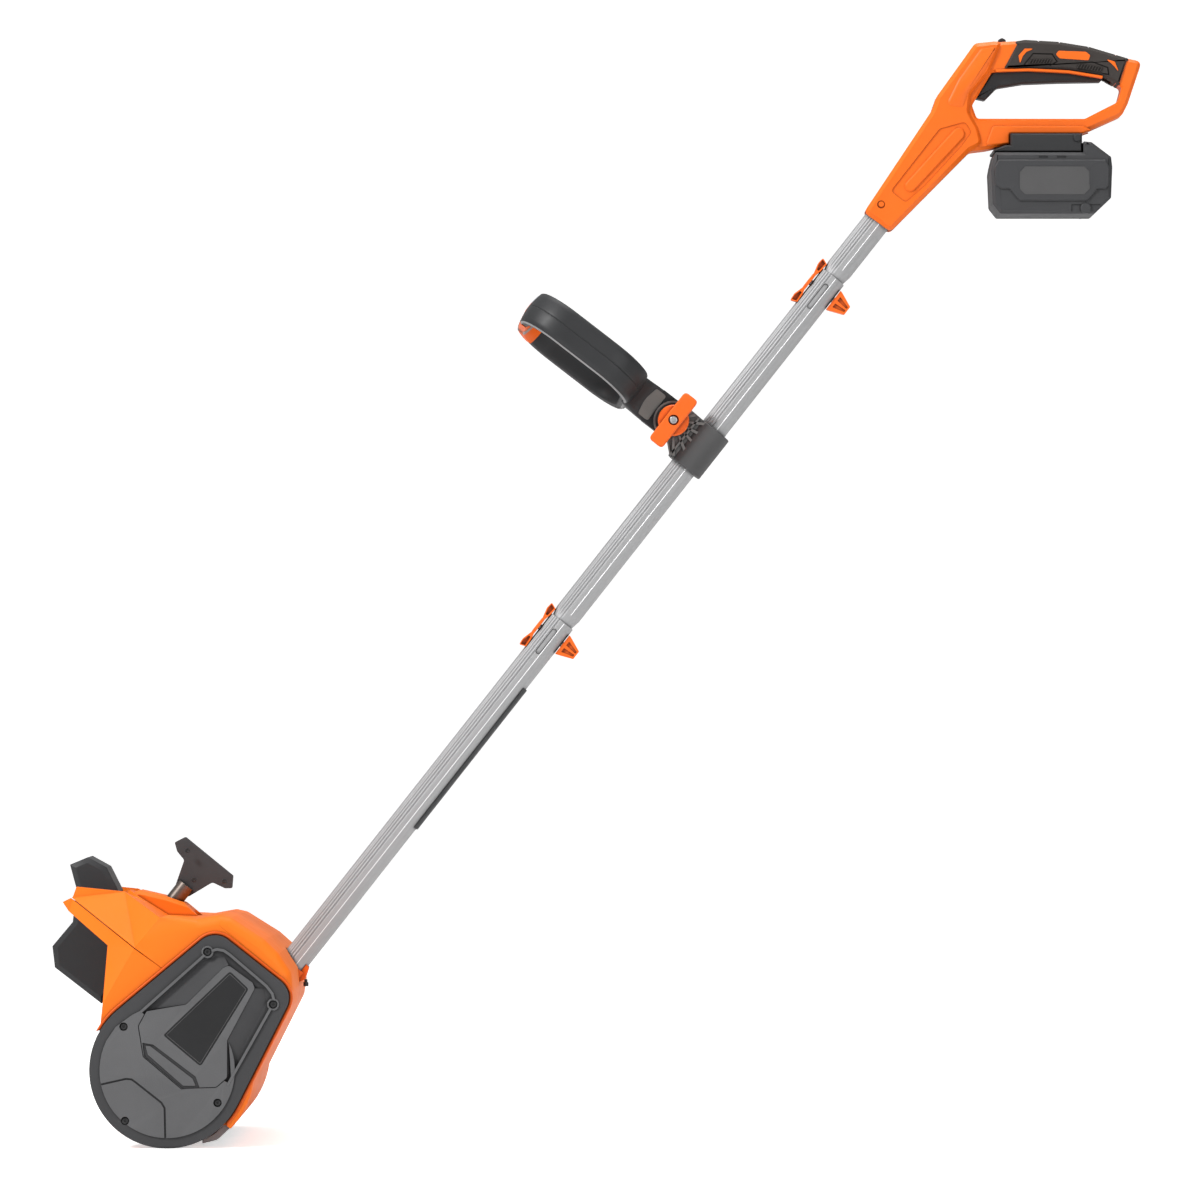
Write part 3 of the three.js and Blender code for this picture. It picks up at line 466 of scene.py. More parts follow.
def applied(target):
    """Turns the object's modifiers into plain mesh."""
    bpy.context.view_layer.update()
    mesh = bpy.data.meshes.new_from_object(target.evaluated_get(bpy.context.evaluated_depsgraph_get()))
    target.modifiers.clear()
    target.data = mesh


def merged(name, parts):
    """One object from several, side by side."""
    shape = bmesh.new()
    for part in parts:
        shape.from_mesh(part.data)
    mesh = bpy.data.meshes.new(name)
    shape.to_mesh(mesh)
    shape.free()
    for part in parts:
        bpy.data.objects.remove(part)
    return placed(name, mesh)


def dress(made, material, replaces=(), bevel=0.8, segments=3, angle=32, body="machine", slot=None):
    """Material, softened edges, and what the piece rides on and stands for."""
    made.data.materials.clear()
    made.data.materials.append(material)
    if not bevel:
        triangulated(made)
    made.data.shade_smooth()
    if bevel:
        modifier = made.modifiers.new("bevel", "BEVEL")
        modifier.width = bevel * 0.001
        modifier.segments = segments
        modifier.limit_method = "ANGLE"
        modifier.angle_limit = radians(angle)
        modifier.harden_normals = True
    else:
        made.data.set_sharp_from_angle(angle=radians(angle))
    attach(made, body)
    if replaces:
        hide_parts(*replaces)
    return made


# ---- head housing

COVER_CIRCLES = [(-415, 76, 76), (-317.5, 146, 20.5), (-369, 186.5, 20.5)]
BODY_CHAIN = [
    (-423.2, 222), (-387, 220.5), (-365, 224.5), (-354, 222), (-321, 201), (-307, 188), (-295, 170),
    (-293.6, 152), (-296, 136), (-324, 80),
]
CHEEK_POINTS = [
    (-517, 90, 227), (-523, 90, 236), (-513.1, 90, 240.9), (-509.4, 90, 251), (-461.9, 90, 246.2),
    (-475.7, 126.5, 195.1), (-447.5, 148, 194), (-478.8, 148, 140), (-482.2, 148, 108.9),
]
SEAM = [(-519, 244.6), (-447.5, 193.8), (-408, 165.5)]


def lifted(x, y, z):
    """The hood and the top of the body lean a little towards the far side."""
    lean = -0.014 * y * min(1.0, max(0.0, (z - 170) / 40))
    return (x, y, z + lean)


def body_chain():
    """Top and rear profile of the body as (x, z, rounding of the side edge)."""
    points = rounded(
        [BODY_CHAIN[0], *[(x, z, BODY_CORNER_R) for x, z in BODY_CHAIN[1:-1]], BODY_CHAIN[-1]], 3)
    points += circle(*ROTOR, 84, 10, -0.14, -0.76)
    return [(x, z, min(SIDE_ROUND, max(0.0, (x + 423.2) * 0.35)) if z > 100 else 6) for x, z in points]


def body_stations():
    """Rows of the body skin from the near cheek to the far one."""
    chain = body_chain()
    flat = [point[:2] for point in chain]
    rows = []
    for side in (-1, 1):
        steps = range(5) if side < 0 else range(4, -1, -1)
        for k in steps:
            turn = pi / 2 * k / 4
            row = []
            for i, (x, z, radius) in enumerate(chain):
                a = Vector(flat[max(0, i - 1)])
                b = Vector(flat[min(len(flat) - 1, i + 1)])
                along = (b - a).normalized()
                inward = Vector((along.y, -along.x))
                if inward.dot(Vector((-370, 120)) - Vector((x, z))) < 0:
                    inward = -inward
                inset = radius * (1 - sin(turn))
                place = side * (HALF_WIDTH - radius * (1 - cos(turn)))
                row.append(lifted(x + inward.x * inset, place, z + inward.y * inset))
            rows.append(row)
    return rows


def housing_skin():
    verts, faces = [], []

    def add(point):
        verts.append(point)
        return len(verts) - 1

    rows = [[add(point) for point in row] for row in body_stations()]
    for low, high in zip(rows, rows[1:]):
        faces += [(low[i], low[i + 1], high[i + 1], high[i]) for i in range(len(low) - 1)]
    top_corners = []
    for side, row in ((-1, rows[0]), (1, rows[-1])):
        under, tip, seam_tip, tip_top, corner, beak, seam_bend, front_high, front_low = [
            add(lifted(x, side * y, z)) for x, y, z in CHEEK_POINTS]
        faces += [
            (front_high, beak, seam_bend), (beak, under, tip, seam_tip, seam_bend),
            (seam_tip, tip_top, corner, seam_bend), (corner, row[0], seam_bend)]
        rim = [
            add(lifted(x, side * HALF_WIDTH, z)) for x, z in circle(*ROTOR, 75, 16, -pi + 0.05, -0.8)]
        faces.append((front_low, front_high, seam_bend, *row, *rim[::-1]))
        top_corners.append((tip_top, corner))
    (near_tip, near_corner), (far_tip, far_corner) = top_corners
    faces.append((near_tip, far_tip, far_corner, near_corner))
    faces.append((near_corner, far_corner, rows[-1][0], *[row[0] for row in rows[-2:0:-1]], rows[0][0]))
    return piece("housing_skin", verts, faces)


def housing_shell():
    skin = housing_skin()
    thicken = skin.modifiers.new("wall", "SOLIDIFY")
    thicken.thickness = HOUSING_WALL * 0.001
    thicken.offset = -1
    thicken.use_even_offset = True
    applied(skin)
    reach = NOTCH_HALF_Y / tan(NOTCH_HALF_ANGLE)
    sector = [
        (NOTCH_R * cos(a), NOTCH_R * sin(a))
        for a in (NOTCH_HALF_ANGLE - NOTCH_HALF_ANGLE * i / 12 for i in range(25))]
    sector += [(reach, -NOTCH_HALF_Y), (125, -NOTCH_HALF_Y), (125, NOTCH_HALF_Y), (reach, NOTCH_HALF_Y)]
    notch = loft("notch", [[(u, y, n) for n, y in sector] for u in (-75, 45)], STEER)
    seam = prism("seam", ribbon(SEAM, SEAM_WIDTH), -170, -142.5)
    bore = rod("bore", TUBE_R + 1.5, -60, 60)
    tip_seam = prism("seam", ribbon([(-530, 252.4), *SEAM[:2]], SEAM_WIDTH), -170, -84)
    boolean(skin, [notch, seam, tip_seam, bore])
    return dress(skin, ORANGE, ("head_housing",), 1.3, 3, 24)


def edge_strip(name, points, inner, outer, low, high):
    """Band beside an open run of an outline, between two offsets from it and two depths."""
    inside, outside = grown(points, inner), grown(points, outer)
    rings = [[(*a, low), (*b, low), (*b, high), (*a, high)] for a, b in zip(inside, outside)]
    return loft(name, [[(x, y, z) for x, z, y in ring] for ring in rings])


COVER_OUTLINE = around_circles(COVER_CIRCLES, 36)


def polar(radius, angle):
    return (ROTOR[0] + radius * cos(angle), ROTOR[1] + radius * sin(angle))


def housing_details():
    housing_shell()
    upper = [p for p in COVER_OUTLINE if p[1] - 76 > (p[0] + 415) * (-0.92 if p[0] > -415 else -0.5)]
    start = max(range(len(upper)), key=lambda i: (Vector(upper[i]) - Vector(upper[i - 1])).length)
    upper = upper[start:] + upper[:start]
    lip = edge_strip("housing_lip", upper, 0.3, 3.6, -150.5, -141)
    # The lip takes the darker orange: painted shade along the cover's edge.
    dress(lip, ORANGE_SHADED, bevel=1.3, segments=4)
    boss_low = [(-466, 222), (-472, 238), (-452, 243), (-426, 237), (-404, 230), (-392, 220), (-396, 212)]
    boss_top = [
        (-460, 226), (-466, 242.5), (-452, 246.5), (-428, 241), (-408, 234), (-399, 226), (-400, 214)]
    boss = loft(
        "stem_boss",
        [
            [(x, y, z) for x, z in row]
            for row, y in ((boss_low, -27), (boss_top, -17), (boss_top, 17), (boss_low, 27))])
    hole = rod("stem_hole", 9.2, -60, 40, space=STEER)
    dress(boolean(boss, [hole]), ORANGE, bevel=2.4, segments=4, angle=12)
    for side, name in ((-1, "near"), (1, "far")):
        cheek = prism(f"cheek_ring_{name}", circle(*ROTOR, 75.3, 64), side * 134, side * 147.8)
        dress(cheek, ORANGE, bevel=1)
    liner = [
        polar(71.5, -0.78 + 1.376 * i / 14) for i in range(15)] + [(-386, 148), (-410, 188), (-421, 212)]
    dress(prism("chamber_liner", ribbon(liner, 2.6), -143.5, 143.5), ORANGE, bevel=0.6)
    sill = [polar(69.8, -0.80), polar(83.4, -0.75), polar(83.4, -0.68), polar(69.8, -0.70)]
    dress(prism("chamber_sill", sill, -143.5, 143.5), ORANGE, bevel=0.6)
    scraper = [(-354.8, 18.6), (-361.4, 24.4), (-369.3, 13.6), (-382.5, 6.5), (-382.5, 3), (-367.8, 6.6, 9)]
    dress(prism("scraper_blade", rounded(scraper), -133, 133), SCRAPER, ("scraper_bar",), 0.8)
    ring = [(TUBE_CLEARANCE_R, -47), (17, -47), (17, -15), (TUBE_CLEARANCE_R, -15)]
    socket = lathe("socket_ring", ring, "x", space=SHAFT)
    ear = prism(
        "socket_ear", rounded([(-303, 172), (-290, 177), (-284.5, 169, 2), (-288.5, 157, 3), (-303, 152)]),
        -9, 9)
    boolean(ear, [rod("bore", TUBE_CLEARANCE_R, -60, 60)])
    # The socket and its ear take the darker orange: painted shade where they sit by the housing.
    dress(merged("tube_socket", [socket, ear]), ORANGE_SHADED, ("tube_collar",), 0.9, slot="orange_knob")
    tip = lathe(
        "socket_screw", [(0, 0), (2.6, 0), (2.6, 4), (1.6, 4), (1.6, 7), (0, 7)], "z", (-287.5, -6, 150.5),
        steps=20)
    dress(tip, BLACK, bevel=0.3)


# ---- side covers

COVER_SCREWS = [(-376, 191), (-312, 140), (-457.5, 118.5), (-366, 44.5), (-456, 27)]
PLATEAU = [
    (-435, 133.3, 2), (-396.5, 140, 6), (-361, 175.2), (-355.4, 178, 4), (-332, 161, 3), (-330, 155.5, 3),
    (-356.8, 105, 3), (-356.8, 69, 5), (-367.5, 59.9, 4), (-385, 59.4), (-401, 58.5), (-437.8, 89.5, 2),
    (-442.7, 119, 6),
]
SLOT_RING = [
    (-439.3, 103, 1), (-428.5, 101, 3), (-387.3, 70, 2), (-383.2, 58.6, 1), (-400.8, 58.6, 2),
    (-437.3, 89.3, 2),
]
SLOT_FACE = [
    (-436.3, 100.2, 1), (-431, 99.3, 2), (-390.3, 68, 1), (-387.2, 60.9, 1), (-399.5, 61.1, 1),
    (-433.8, 91.2, 1),
]
RIB_LINE = [
    (-441, 132.5), (-380.5, 186.5), (-374.5, 191.3), (-366.5, 193.6), (-360, 192.3), (-354.5, 188.6),
    (-318.4, 157.8), (-312.8, 150.4), (-311, 143), (-314.5, 136), (-332.5, 103.8), (-356.5, 61.2),
]
PANEL = [
    (-441.5, 133.8), (-449, 130, 6), (-465, 118.4, 4), *[polar(65.8, a) for a in (
        radians(148 + 236 * i / 40) for i in range(1, 41))], (-352.5, 62.5, 2), (-360, 66),
]
LOWER_GROOVE = [
    (-486, 60.8), (-455, 67.8), (-449.6, 67.2), (-445, 64), (-420.5, 44.6), (-417.4, 39.5), (-416.6, 4),
]
LABEL = [(-418.3, 110.2, 2), (-354, 171.8, 2.5), (-336.3, 155, 2.5), (-382.5, 80.3, 2.5)]


def screw_pockets(radius, low, high, spots):
    return [prism("pocket", circle(x, z, radius, 24), low, high) for x, z in spots]


def side_screw(name, x, z, face, side, nodes=()):
    """Pan head with a six-lobed socket, sunk below the cover face."""
    lobes = [
        (x + (1.35 + 0.3 * cos(6 * a)) * cos(a), z + (1.35 + 0.3 * cos(6 * a)) * sin(a))
        for a in (2 * pi * i / 48 for i in range(48))]
    profile = [(0, 0), (2.6, 0.1), (3.5, 0.7), (3.7, 1.6), (3.7, 2.6), (0, 2.6)]
    head = lathe(name, [(r, -side * h) for r, h in profile], "y", (x, face, z), steps=36)
    boolean(head, [prism("socket", lobes, face - 1.4, face + 1.4)])
    dress(head, BLACK, nodes, 0.2)


def near_cover():
    plate = prism("plate", COVER_OUTLINE, -155, -148.3)
    rim = prism("rim", COVER_OUTLINE, -158.4, -154.8)
    boolean(rim, [prism("valley", grown(RIB_LINE, -1), -159.5, -153)])
    base = merged("near_cover_base", [plate, rim])
    boolean(base, screw_pockets(SCREW_POCKET_R, -161, -154, COVER_SCREWS))
    dress(base, COVER_RIM, ("near_side_cover",), 1.6, 3)

    panel = prism("near_cover_panel", rounded(PANEL), -159.7, -157)
    groove = prism("groove", ribbon(LOWER_GROOVE, 1.9), *COVER_THROUGH)
    around = prism("around", grown(rounded(PLATEAU), 0.9), *COVER_THROUGH)
    boolean(panel, [groove, around, *screw_pockets(SCREW_POCKET_R, *COVER_THROUGH, COVER_SCREWS[2:])])
    dress(panel, COVER_PANEL, bevel=0.5, segments=2)

    top = prism("near_cover_plateau", rounded(PLATEAU), -159.9, -154)
    boolean(
        top,
        [
            prism("slot", rounded(SLOT_RING), -161, -157.6),
            prism("sunk", grown(rounded(LABEL), 0.4), -161, -159.2)])
    dress(top, COVER_PANEL, bevel=0.6, segments=2)
    # The two slopes take the darker rim grey instead of the panel grey: painted shade on faces turned from
    # the light.
    slope_upper = [
        (-434, 134.5, -155), (-381, 181.5, -155), (-368, 187, -155), (-359.5, 185.5, -155),
        (-355.4, 178.4, -159.3), (-361, 175.5, -159.3), (-396.5, 140.4, -159.3)]
    slope_right = [
        (-321, 155.5, -155), (-318.5, 143, -155), (-352.5, 78, -155), (-356.4, 69.5, -159.3),
        (-356.4, 105, -159.3), (-329.7, 155.5, -159.3)]
    for name, outline in (("slope_upper", slope_upper), ("slope_right", slope_right)):
        rings = [[(x, y, z) for x, z, y in outline], [(x, -153, z) for x, z, y in outline]]
        dress(loft(f"near_cover_{name}", rings), COVER_RIM, bevel=0)
    dress(prism("near_cover_slot_face", rounded(SLOT_FACE), -159.5, -156), COVER_PANEL, bevel=0.4)
    rib = prism("near_cover_rib", ribbon(RIB_LINE, 2.6), -159.9, -156)
    collars = [
        lathe(
            "collar", [(4, -155), (4, -158.8), (4.5, -159.6), (5.4, -159.6), (6, -158.8), (6, -155)], "y",
            (x, 0, z), steps=40)
        for x, z in COVER_SCREWS[:2]]
    boolean(rib, screw_pockets(4.2, *COVER_THROUGH, COVER_SCREWS[:2]))
    dress(merged("near_cover_rib", [rib, *collars]), COVER_PANEL, bevel=0.5, segments=2)
    plate = prism("blank_plate", rounded(LABEL), -159.7, -158.8)
    dress(plate, LABEL_DARK, bevel=0.25)
    frame_line = ribbon(grown(rounded(LABEL), -1.6), 0.5, True)
    count = len(frame_line)
    border = loft(
        "blank_plate_border",
        [
            [(*frame_line[k], d) for d in (-159.85, -159.6)] + [
                (*frame_line[count - 1 - k], d) for d in (-159.6, -159.85)]
            for k in range(count // 2)],
        DATUM @ SWAP, True)
    dress(border, GREY, bevel=0, slot="dark_plastic")
    for i, (x, z) in enumerate(COVER_SCREWS):
        side_screw(f"cover_screw_head_{i + 1}", x, z, -158.6, -1, (f"cover_screw_{i + 1}",))


def far_cover():
    outline = around_circles([(-415, 76, 70), (-352, 164.5, 24)], 36)
    spots = [(-456, 118), (-371, 176), (-338, 156), (-366, 42), (-455, 32)]
    base = prism("far_cover_base", outline, 148.3, 158.2)
    boolean(base, screw_pockets(SCREW_POCKET_R, 155.8, 161, spots))
    dress(base, COVER_RIM, ("far_side_cover",), 2.2, 4)
    panel = prism("far_cover_panel", grown(outline, -9), 157, 159.9)
    groove = prism(
        "groove", ribbon([(-486, 60.8), (-455, 67.8), (-420.5, 44.6), (-416.6, 4)], 1.9), 150, 161)
    boolean(panel, [groove, *screw_pockets(4.6, 150, 161, spots)])
    dress(panel, COVER_PANEL, bevel=0.6)
    for i, (x, z) in enumerate(spots):
        side_screw(f"far_screw_head_{i + 1}", x, z, 158, 1)


# ---- deflector

VANE_OUTLINE = [
    (-129, -8), (-129.5, 51), (-114.5, 66), (-83, 65), (-54.5, 83), (-40, 102.5), (-23, 93), (-19.5, 72),
    (-31, 47.5), (-42, 45.5), (-60, 30), (-75, -8),
]
VANE_ROOF = [
    (-41.5, 98.5), (-40, 102.5), (-23, 93), (-19.5, 72), (-31, 47.5), (-34, 48.9), (-22.9, 72.2),
    (-25.8, 90.8),
]
T_OUTLINE = [
    (6, -9, 1), (6, 8, 1), (32, 17, 3), (34.5, 28, 2), (40, 35.5, 1.5), (51, 30.5, 2), (50, -31, 2),
    (39.5, -38, 1.5), (35, -32.5, 2), (32, -19, 4),
]
T_SCREWS = [(42, 20), (23, -3), (41, -28)]


def deflector():
    inset = grown(VANE_OUTLINE, -5)
    core = [(8.8, -116), (11, -116), (11, -84.3), (8.8, -84.3)]
    parts = []
    for side in (-1, 1):
        rows = [
            (inset, side * 31.4), (VANE_OUTLINE, side * 27.8), (VANE_OUTLINE, side * 26.8),
            (inset, side * 26.8)]
        parts.append(stepped("vane", rows, STEER))
    parts += [
        prism("vane", grown(VANE_OUTLINE, -1), -1.4, 1.4, STEER),
        prism("vane", VANE_ROOF, -27.5, 27.5, STEER),
        prism("vane", [(-118, -6), (-118, 6), (-88, 6), (-88, -6)], -28, 28, STEER),
        lathe("vane", core, "x", space=STEER),
    ]
    dress(merged("deflector_block", parts), DARK, ("deflector_vanes",), 0.7, 2, body="deflector")
    stem = lathe(
        "deflector_rod", [(0, -109), (7.8, -109), (8.5, -108), (8.5, 14), (0, 14)], "x", space=STEER)
    dress(stem, BRONZE, ("deflector_stem",), 0.3, body="deflector")
    outline = rounded(T_OUTLINE, 3)
    slim = grown(outline, -3.2)
    for side, name in ((-1, "near"), (1, "far")):
        rows = [(slim, side * 12), (outline, side * 8.6), (outline, side * 0.15)]
        half = stepped(f"steering_grip_{name}", rows, STEER)
        if side < 0:
            boolean(half, [prism("pocket", circle(x, z, 3, 24), -13, -9.2, STEER) for x, z in T_SCREWS])
        dress(
            half, COVER_RIM, (f"deflector_handle_{name}",), 0, angle=20, body="deflector",
            slot="dark_plastic")
    for i, (x, z) in enumerate(T_SCREWS):
        head = lathe(
            f"grip_screw_{i + 1}",
            [(0, -9), (0, -10.6), (1.1, -10.6), (1.3, -10.9), (2.4, -10.7), (2.6, -9)], "y", (x, 0, z),
            STEER, 24)
        dress(head, BLACK, (f"handle_screw_{i + 1}",), 0.15, body="deflector")


# ---- shaft tubes


def tube_ring(t, radius, drawn=True, count=180):
    """Round section; a drawn one has flutes along its near and far sides."""
    ring = []
    for i in range(count):
        degrees = 360 * i / count
        side = min(degrees, 360 - degrees)
        reach = radius
        if drawn:
            for flute in FLUTES:
                reach -= FLUTE_DEPTH * max(0.0, cos(pi * min(abs(side - flute), 4) / 8))
            reach -= 0.3
        angle = radians(degrees)
        ring.append((t, -reach * sin(angle), reach * cos(angle)))
    return ring


def slot_cutter(bolt_t):
    middle = bolt_t - 7.5
    outline = circle(middle + 12.5, 0, 3, 12, -pi / 2, pi / 2)
    outline += circle(middle - 12.5, 0, 3, 12, pi / 2, 1.5 * pi)
    return prism("slot", outline, -16, -9, SHAFT)


def shaft_tube(name, low, high, neck_top, bolts, slot_bolt):
    """Tube from low to high; neck_top is where its narrow lower end leaves the tube below."""
    inner = TUBE_R - TUBE_WALL
    if neck_top is None:
        outside = [(low, TUBE_R), (high, TUBE_R)]
        inside = [(high, inner), (low, inner)]
    else:
        outside = [(low, NECK_R), (neck_top, NECK_R), (neck_top + TAPER, TUBE_R), (high, TUBE_R)]
        inside = [
            (high, inner), (neck_top + TAPER, inner), (neck_top, NECK_R - TUBE_WALL),
            (low, NECK_R - TUBE_WALL)]
    rings = [tube_ring(t, r, r == TUBE_R) for t, r in outside] + [tube_ring(t, r, False) for t, r in inside]
    made = loft(name, rings, SHAFT, closed=True)
    cutters = [rod("hole", BOLT_HOLE_R, -20, 20, "z", (t, 0, 0), steps=20) for t in bolts]
    if slot_bolt:
        cutters.append(slot_cutter(slot_bolt))
    boolean(made, cutters)
    dress(made, TUBE, (name,), 0, angle=50)
    start = low + 1 if neck_top is None else neck_top + TAPER
    turn = radians(BEAD)
    y, z = -(TUBE_R - BEAD_R) * sin(turn), (TUBE_R - BEAD_R) * cos(turn)
    # A thin near-white bead along the tube: a painted highlight line.
    bead = loft(
        f"{name}_bead", [[(t, p, q) for p, q in circle(y, z, BEAD_R, 10)] for t in (start, high - 0.6)],
        SHAFT)
    dress(bead, BEAD_HIGHLIGHT, bevel=0, angle=60)


WING = [
    (-24, 12.8, 1), (-26.6, 19.7, 1.4), (-19.5, 20.4, 2), (-7, 17.2, 5), (7, 17.2, 5), (19.5, 20.4, 2),
    (26.6, 19.7, 1.4), (24, 12.8, 1), (15, 13.4, 2), (9, 14.8, 2), (-9, 14.8, 2), (-15, 13.4, 2),
]
CAP = [(-12, -14.3, 1), (-10.2, -19, 3), (-4.8, -32, 1.2), (4.8, -32, 1.2), (10.2, -19, 3), (12, -14.3, 1)]


def shaft_joint(name, bolt_t):
    place = SHAFT @ Matrix.Translation((bolt_t, 0, 0))
    wing = prism("wing", rounded(WING), -6.5, 6.5, place)
    hub = lathe(
        "hub", [(BOLT_HOLE_R, 14.7), (9, 14.7), (9, 17.2), (8.2, 18), (BOLT_HOLE_R, 18)], "z", (0, 0, 0),
        place, 40)
    pockets = []
    for end in (-1, 1):
        for low, high in ((-7, -2.2), (2.2, 7)):
            outline = [
                (end * 13.5, 15.2), (end * 23.6, 14.4), (end * 25, 18.9), (end * 19.6, 19.2),
                (end * 13.5, 17.4)]
            pockets.append(prism("pocket", outline, low, high, place))
    boolean(wing, pockets)
    dress(
        merged(f"{name}_wing", [wing, hub]), ORANGE_KNOB, (f"{name}_wing_knob",), 0.6, 2,
        body=f"{name}_knob")
    bolt = lathe(
        f"{name}_bolt", [(0, -24), (BOLT_R, -24), (BOLT_R, 17), (2.6, 17.6), (0, 17.6)], "z", (0, 0, 0),
        place, 24)
    dress(bolt, STEEL, (f"{name}_joint_bolt",), 0.15, body=f"{name}_knob")
    cap = prism(f"{name}_cap", rounded(CAP), -6.5, 6.5, place)
    cutters = [
        rod("tube", 14.35, -20, 20, space=place, steps=60),
        rod("hole", BOLT_HOLE_R, -24.4, 0, "z", space=place, steps=20)]
    for side in (-1, 1):
        face = (4.4 if side > 0 else -7.5, 7.5 if side > 0 else -4.4)
        for left, right in ((-3.1, -0.8), (0.8, 3.1)):
            outline = [(left * 2.1, -18), (left, -30.4), (right, -30.4), (right * 2.1, -18)]
            cutters.append(prism("groove", outline, *face, place))
    boolean(cap, cutters)
    dress(cap, ORANGE_KNOB, (f"{name}_bolt_cap",), 0.5, 2)


def shaft():
    lower_end = LOWER_BOLT_T + SOCKET_PAST_BOLT
    upper_end = UPPER_BOLT_T + SOCKET_PAST_BOLT
    shaft_tube("lower_tube", TUBE_FOOT_T, lower_end, None, [LOWER_BOLT_T], LOWER_BOLT_T)
    shaft_tube(
        "middle_tube", LOWER_BOLT_T - NECK_BELOW_BOLT, upper_end, lower_end, [LOWER_BOLT_T, UPPER_BOLT_T],
        UPPER_BOLT_T)
    shaft_tube("upper_tube", UPPER_BOLT_T - NECK_BELOW_BOLT, TUBE_TOP_T, upper_end, [UPPER_BOLT_T], None)
    shaft_joint("lower", LOWER_BOLT_T)
    shaft_joint("upper", UPPER_BOLT_T)


# ---- front handle

LUG = [*circle(0, 0, 20, 20, -0.1, pi + 0.35), (-30, -19.5), (-30, -32.5), (19, -32.5), (19, -19.5)]
RIB_ANGLES = (-142, -121, -100, -79, -58, -37)
ARM = PIVOT @ Matrix.Rotation(SHAFT_ANGLE - LOOP_ANGLE, 4, "Y")


def clamp_bracket():
    parts = []
    for side in (-1, 1):
        face = sorted((side * 10.2, side * 14.4))
        parts.append(prism("lug", LUG, *face, PIVOT))
        raised = sorted((side * 14, side * 17))
        for degrees in RIB_ANGLES:
            angle = radians(degrees)
            across = Vector((-sin(angle), cos(angle)))
            along = Vector((cos(angle), sin(angle)))
            limit = min(
                35, 31.5 / max(0.2, abs(along.y)),
                (19 if along.x > 0 else 30) / max(0.05, abs(along.x)) - 1)
            outline = [
                along * 15 + across * 1, along * 15 - across * 1, along * limit - across * 1.6,
                along * limit + across * 1.6]
            parts.append(prism("rib", [tuple(p) for p in outline], *raised, PIVOT))
        border = [p for p in LUG if p[1] > -20]
        inner = [(x * 0.9, z * 0.9) for x, z in border]
        parts.append(
            loft(
                "border",
                [
                    [(*a, raised[0]), (*b, raised[0]), (*b, raised[1]), (*a, raised[1])]
                    for a, b in zip(border, inner)],
                PIVOT @ SWAP))
    sleeve = lathe(
        "sleeve",
        [
            (TUBE_CLEARANCE_R, SLEEVE[0]), (18.9, SLEEVE[0]), (19.7, SLEEVE[0] + 0.8),
            (19.7, SLEEVE[1] - 0.8), (18.9, SLEEVE[1]), (TUBE_CLEARANCE_R, SLEEVE[1])],
        "x", (0, 0, -PIVOT_N), PIVOT, 72)
    bore = rod("bore", TUBE_CLEARANCE_R, -80, 80, "x", (0, 0, -PIVOT_N), PIVOT, 60)
    for part in parts:
        boolean(part, [bore.copy()])
    bpy.data.objects.remove(bore)
    # The lugs take a lighter grey than the sleeve: partly their own tone, partly painted light.
    dress(merged("clamp_bracket_lugs", parts), GREY_PALE_AND_LIT, bevel=0.4, segments=2, body="bracket")
    dress(sleeve, GREY, ("clamp_bracket",), 0.5, 2, body="bracket")


def loop_path(steps=14):
    """Stations round the loop: centre of curvature in the loop's plane and outward direction."""
    low, high = LOOP_ENDS[0] + LOOP_CORNER_R, LOOP_ENDS[1] - LOOP_CORNER_R
    stations = []
    for quarter, (x, side) in enumerate(((high, -1), (high, 1), (low, 1), (low, -1))):
        start = pi / 2 * (quarter - 1)
        stations += [(x, side * LOOP_CORNER_Y, start + pi / 2 * i / steps) for i in range(steps + 1)]
    return stations


def band_section():
    """Crowned band with a fine seam along the middle of its outer and inner faces."""
    outer = [(2.6 * (z / 18) ** 2, z) for z in (-16.6, -12, -8, -4, -1.2)]
    outer += [(0.05, -0.7), (0.55, 0), (0.05, 0.7)]
    outer += [(2.6 * (z / 18) ** 2, z) for z in (1.2, 4, 8, 12, 16.6)]
    inner = [(13 - 1.8 * (z / 18) ** 2, z) for z in (16.6, 12, 8, 4, 1)]
    inner += [(12.6, 0)] + [(13 - 1.8 * (z / 18) ** 2, z) for z in (-1, -4, -8, -12, -16.6)]
    return [
        *outer, (3.4, 17.7), (4.8, 18), (9.6, 18), (10.8, 17.5), *inner, (10.8, -17.5), (9.6, -18),
        (4.8, -18), (3.4, -17.7)]


def round_loop(section, stations):
    return [
        [
            (x + (LOOP_CORNER_R - off) * cos(a), y + (LOOP_CORNER_R - off) * sin(a), z)
            for off, z in section]
        for x, y, a in stations]


def far_end(*degrees):
    """Stations on the far corner of the loop's outer end."""
    return [(LOOP_ENDS[1] - LOOP_CORNER_R, LOOP_CORNER_Y, radians(turn)) for turn in degrees]


def box_ring(x, half_y, half_z, corner):
    points = [
        (-half_y, -half_z, corner), (half_y, -half_z, corner), (half_y, half_z, corner),
        (-half_y, half_z, corner)]
    return [(x, y, z) for y, z in rounded(points, 4)]


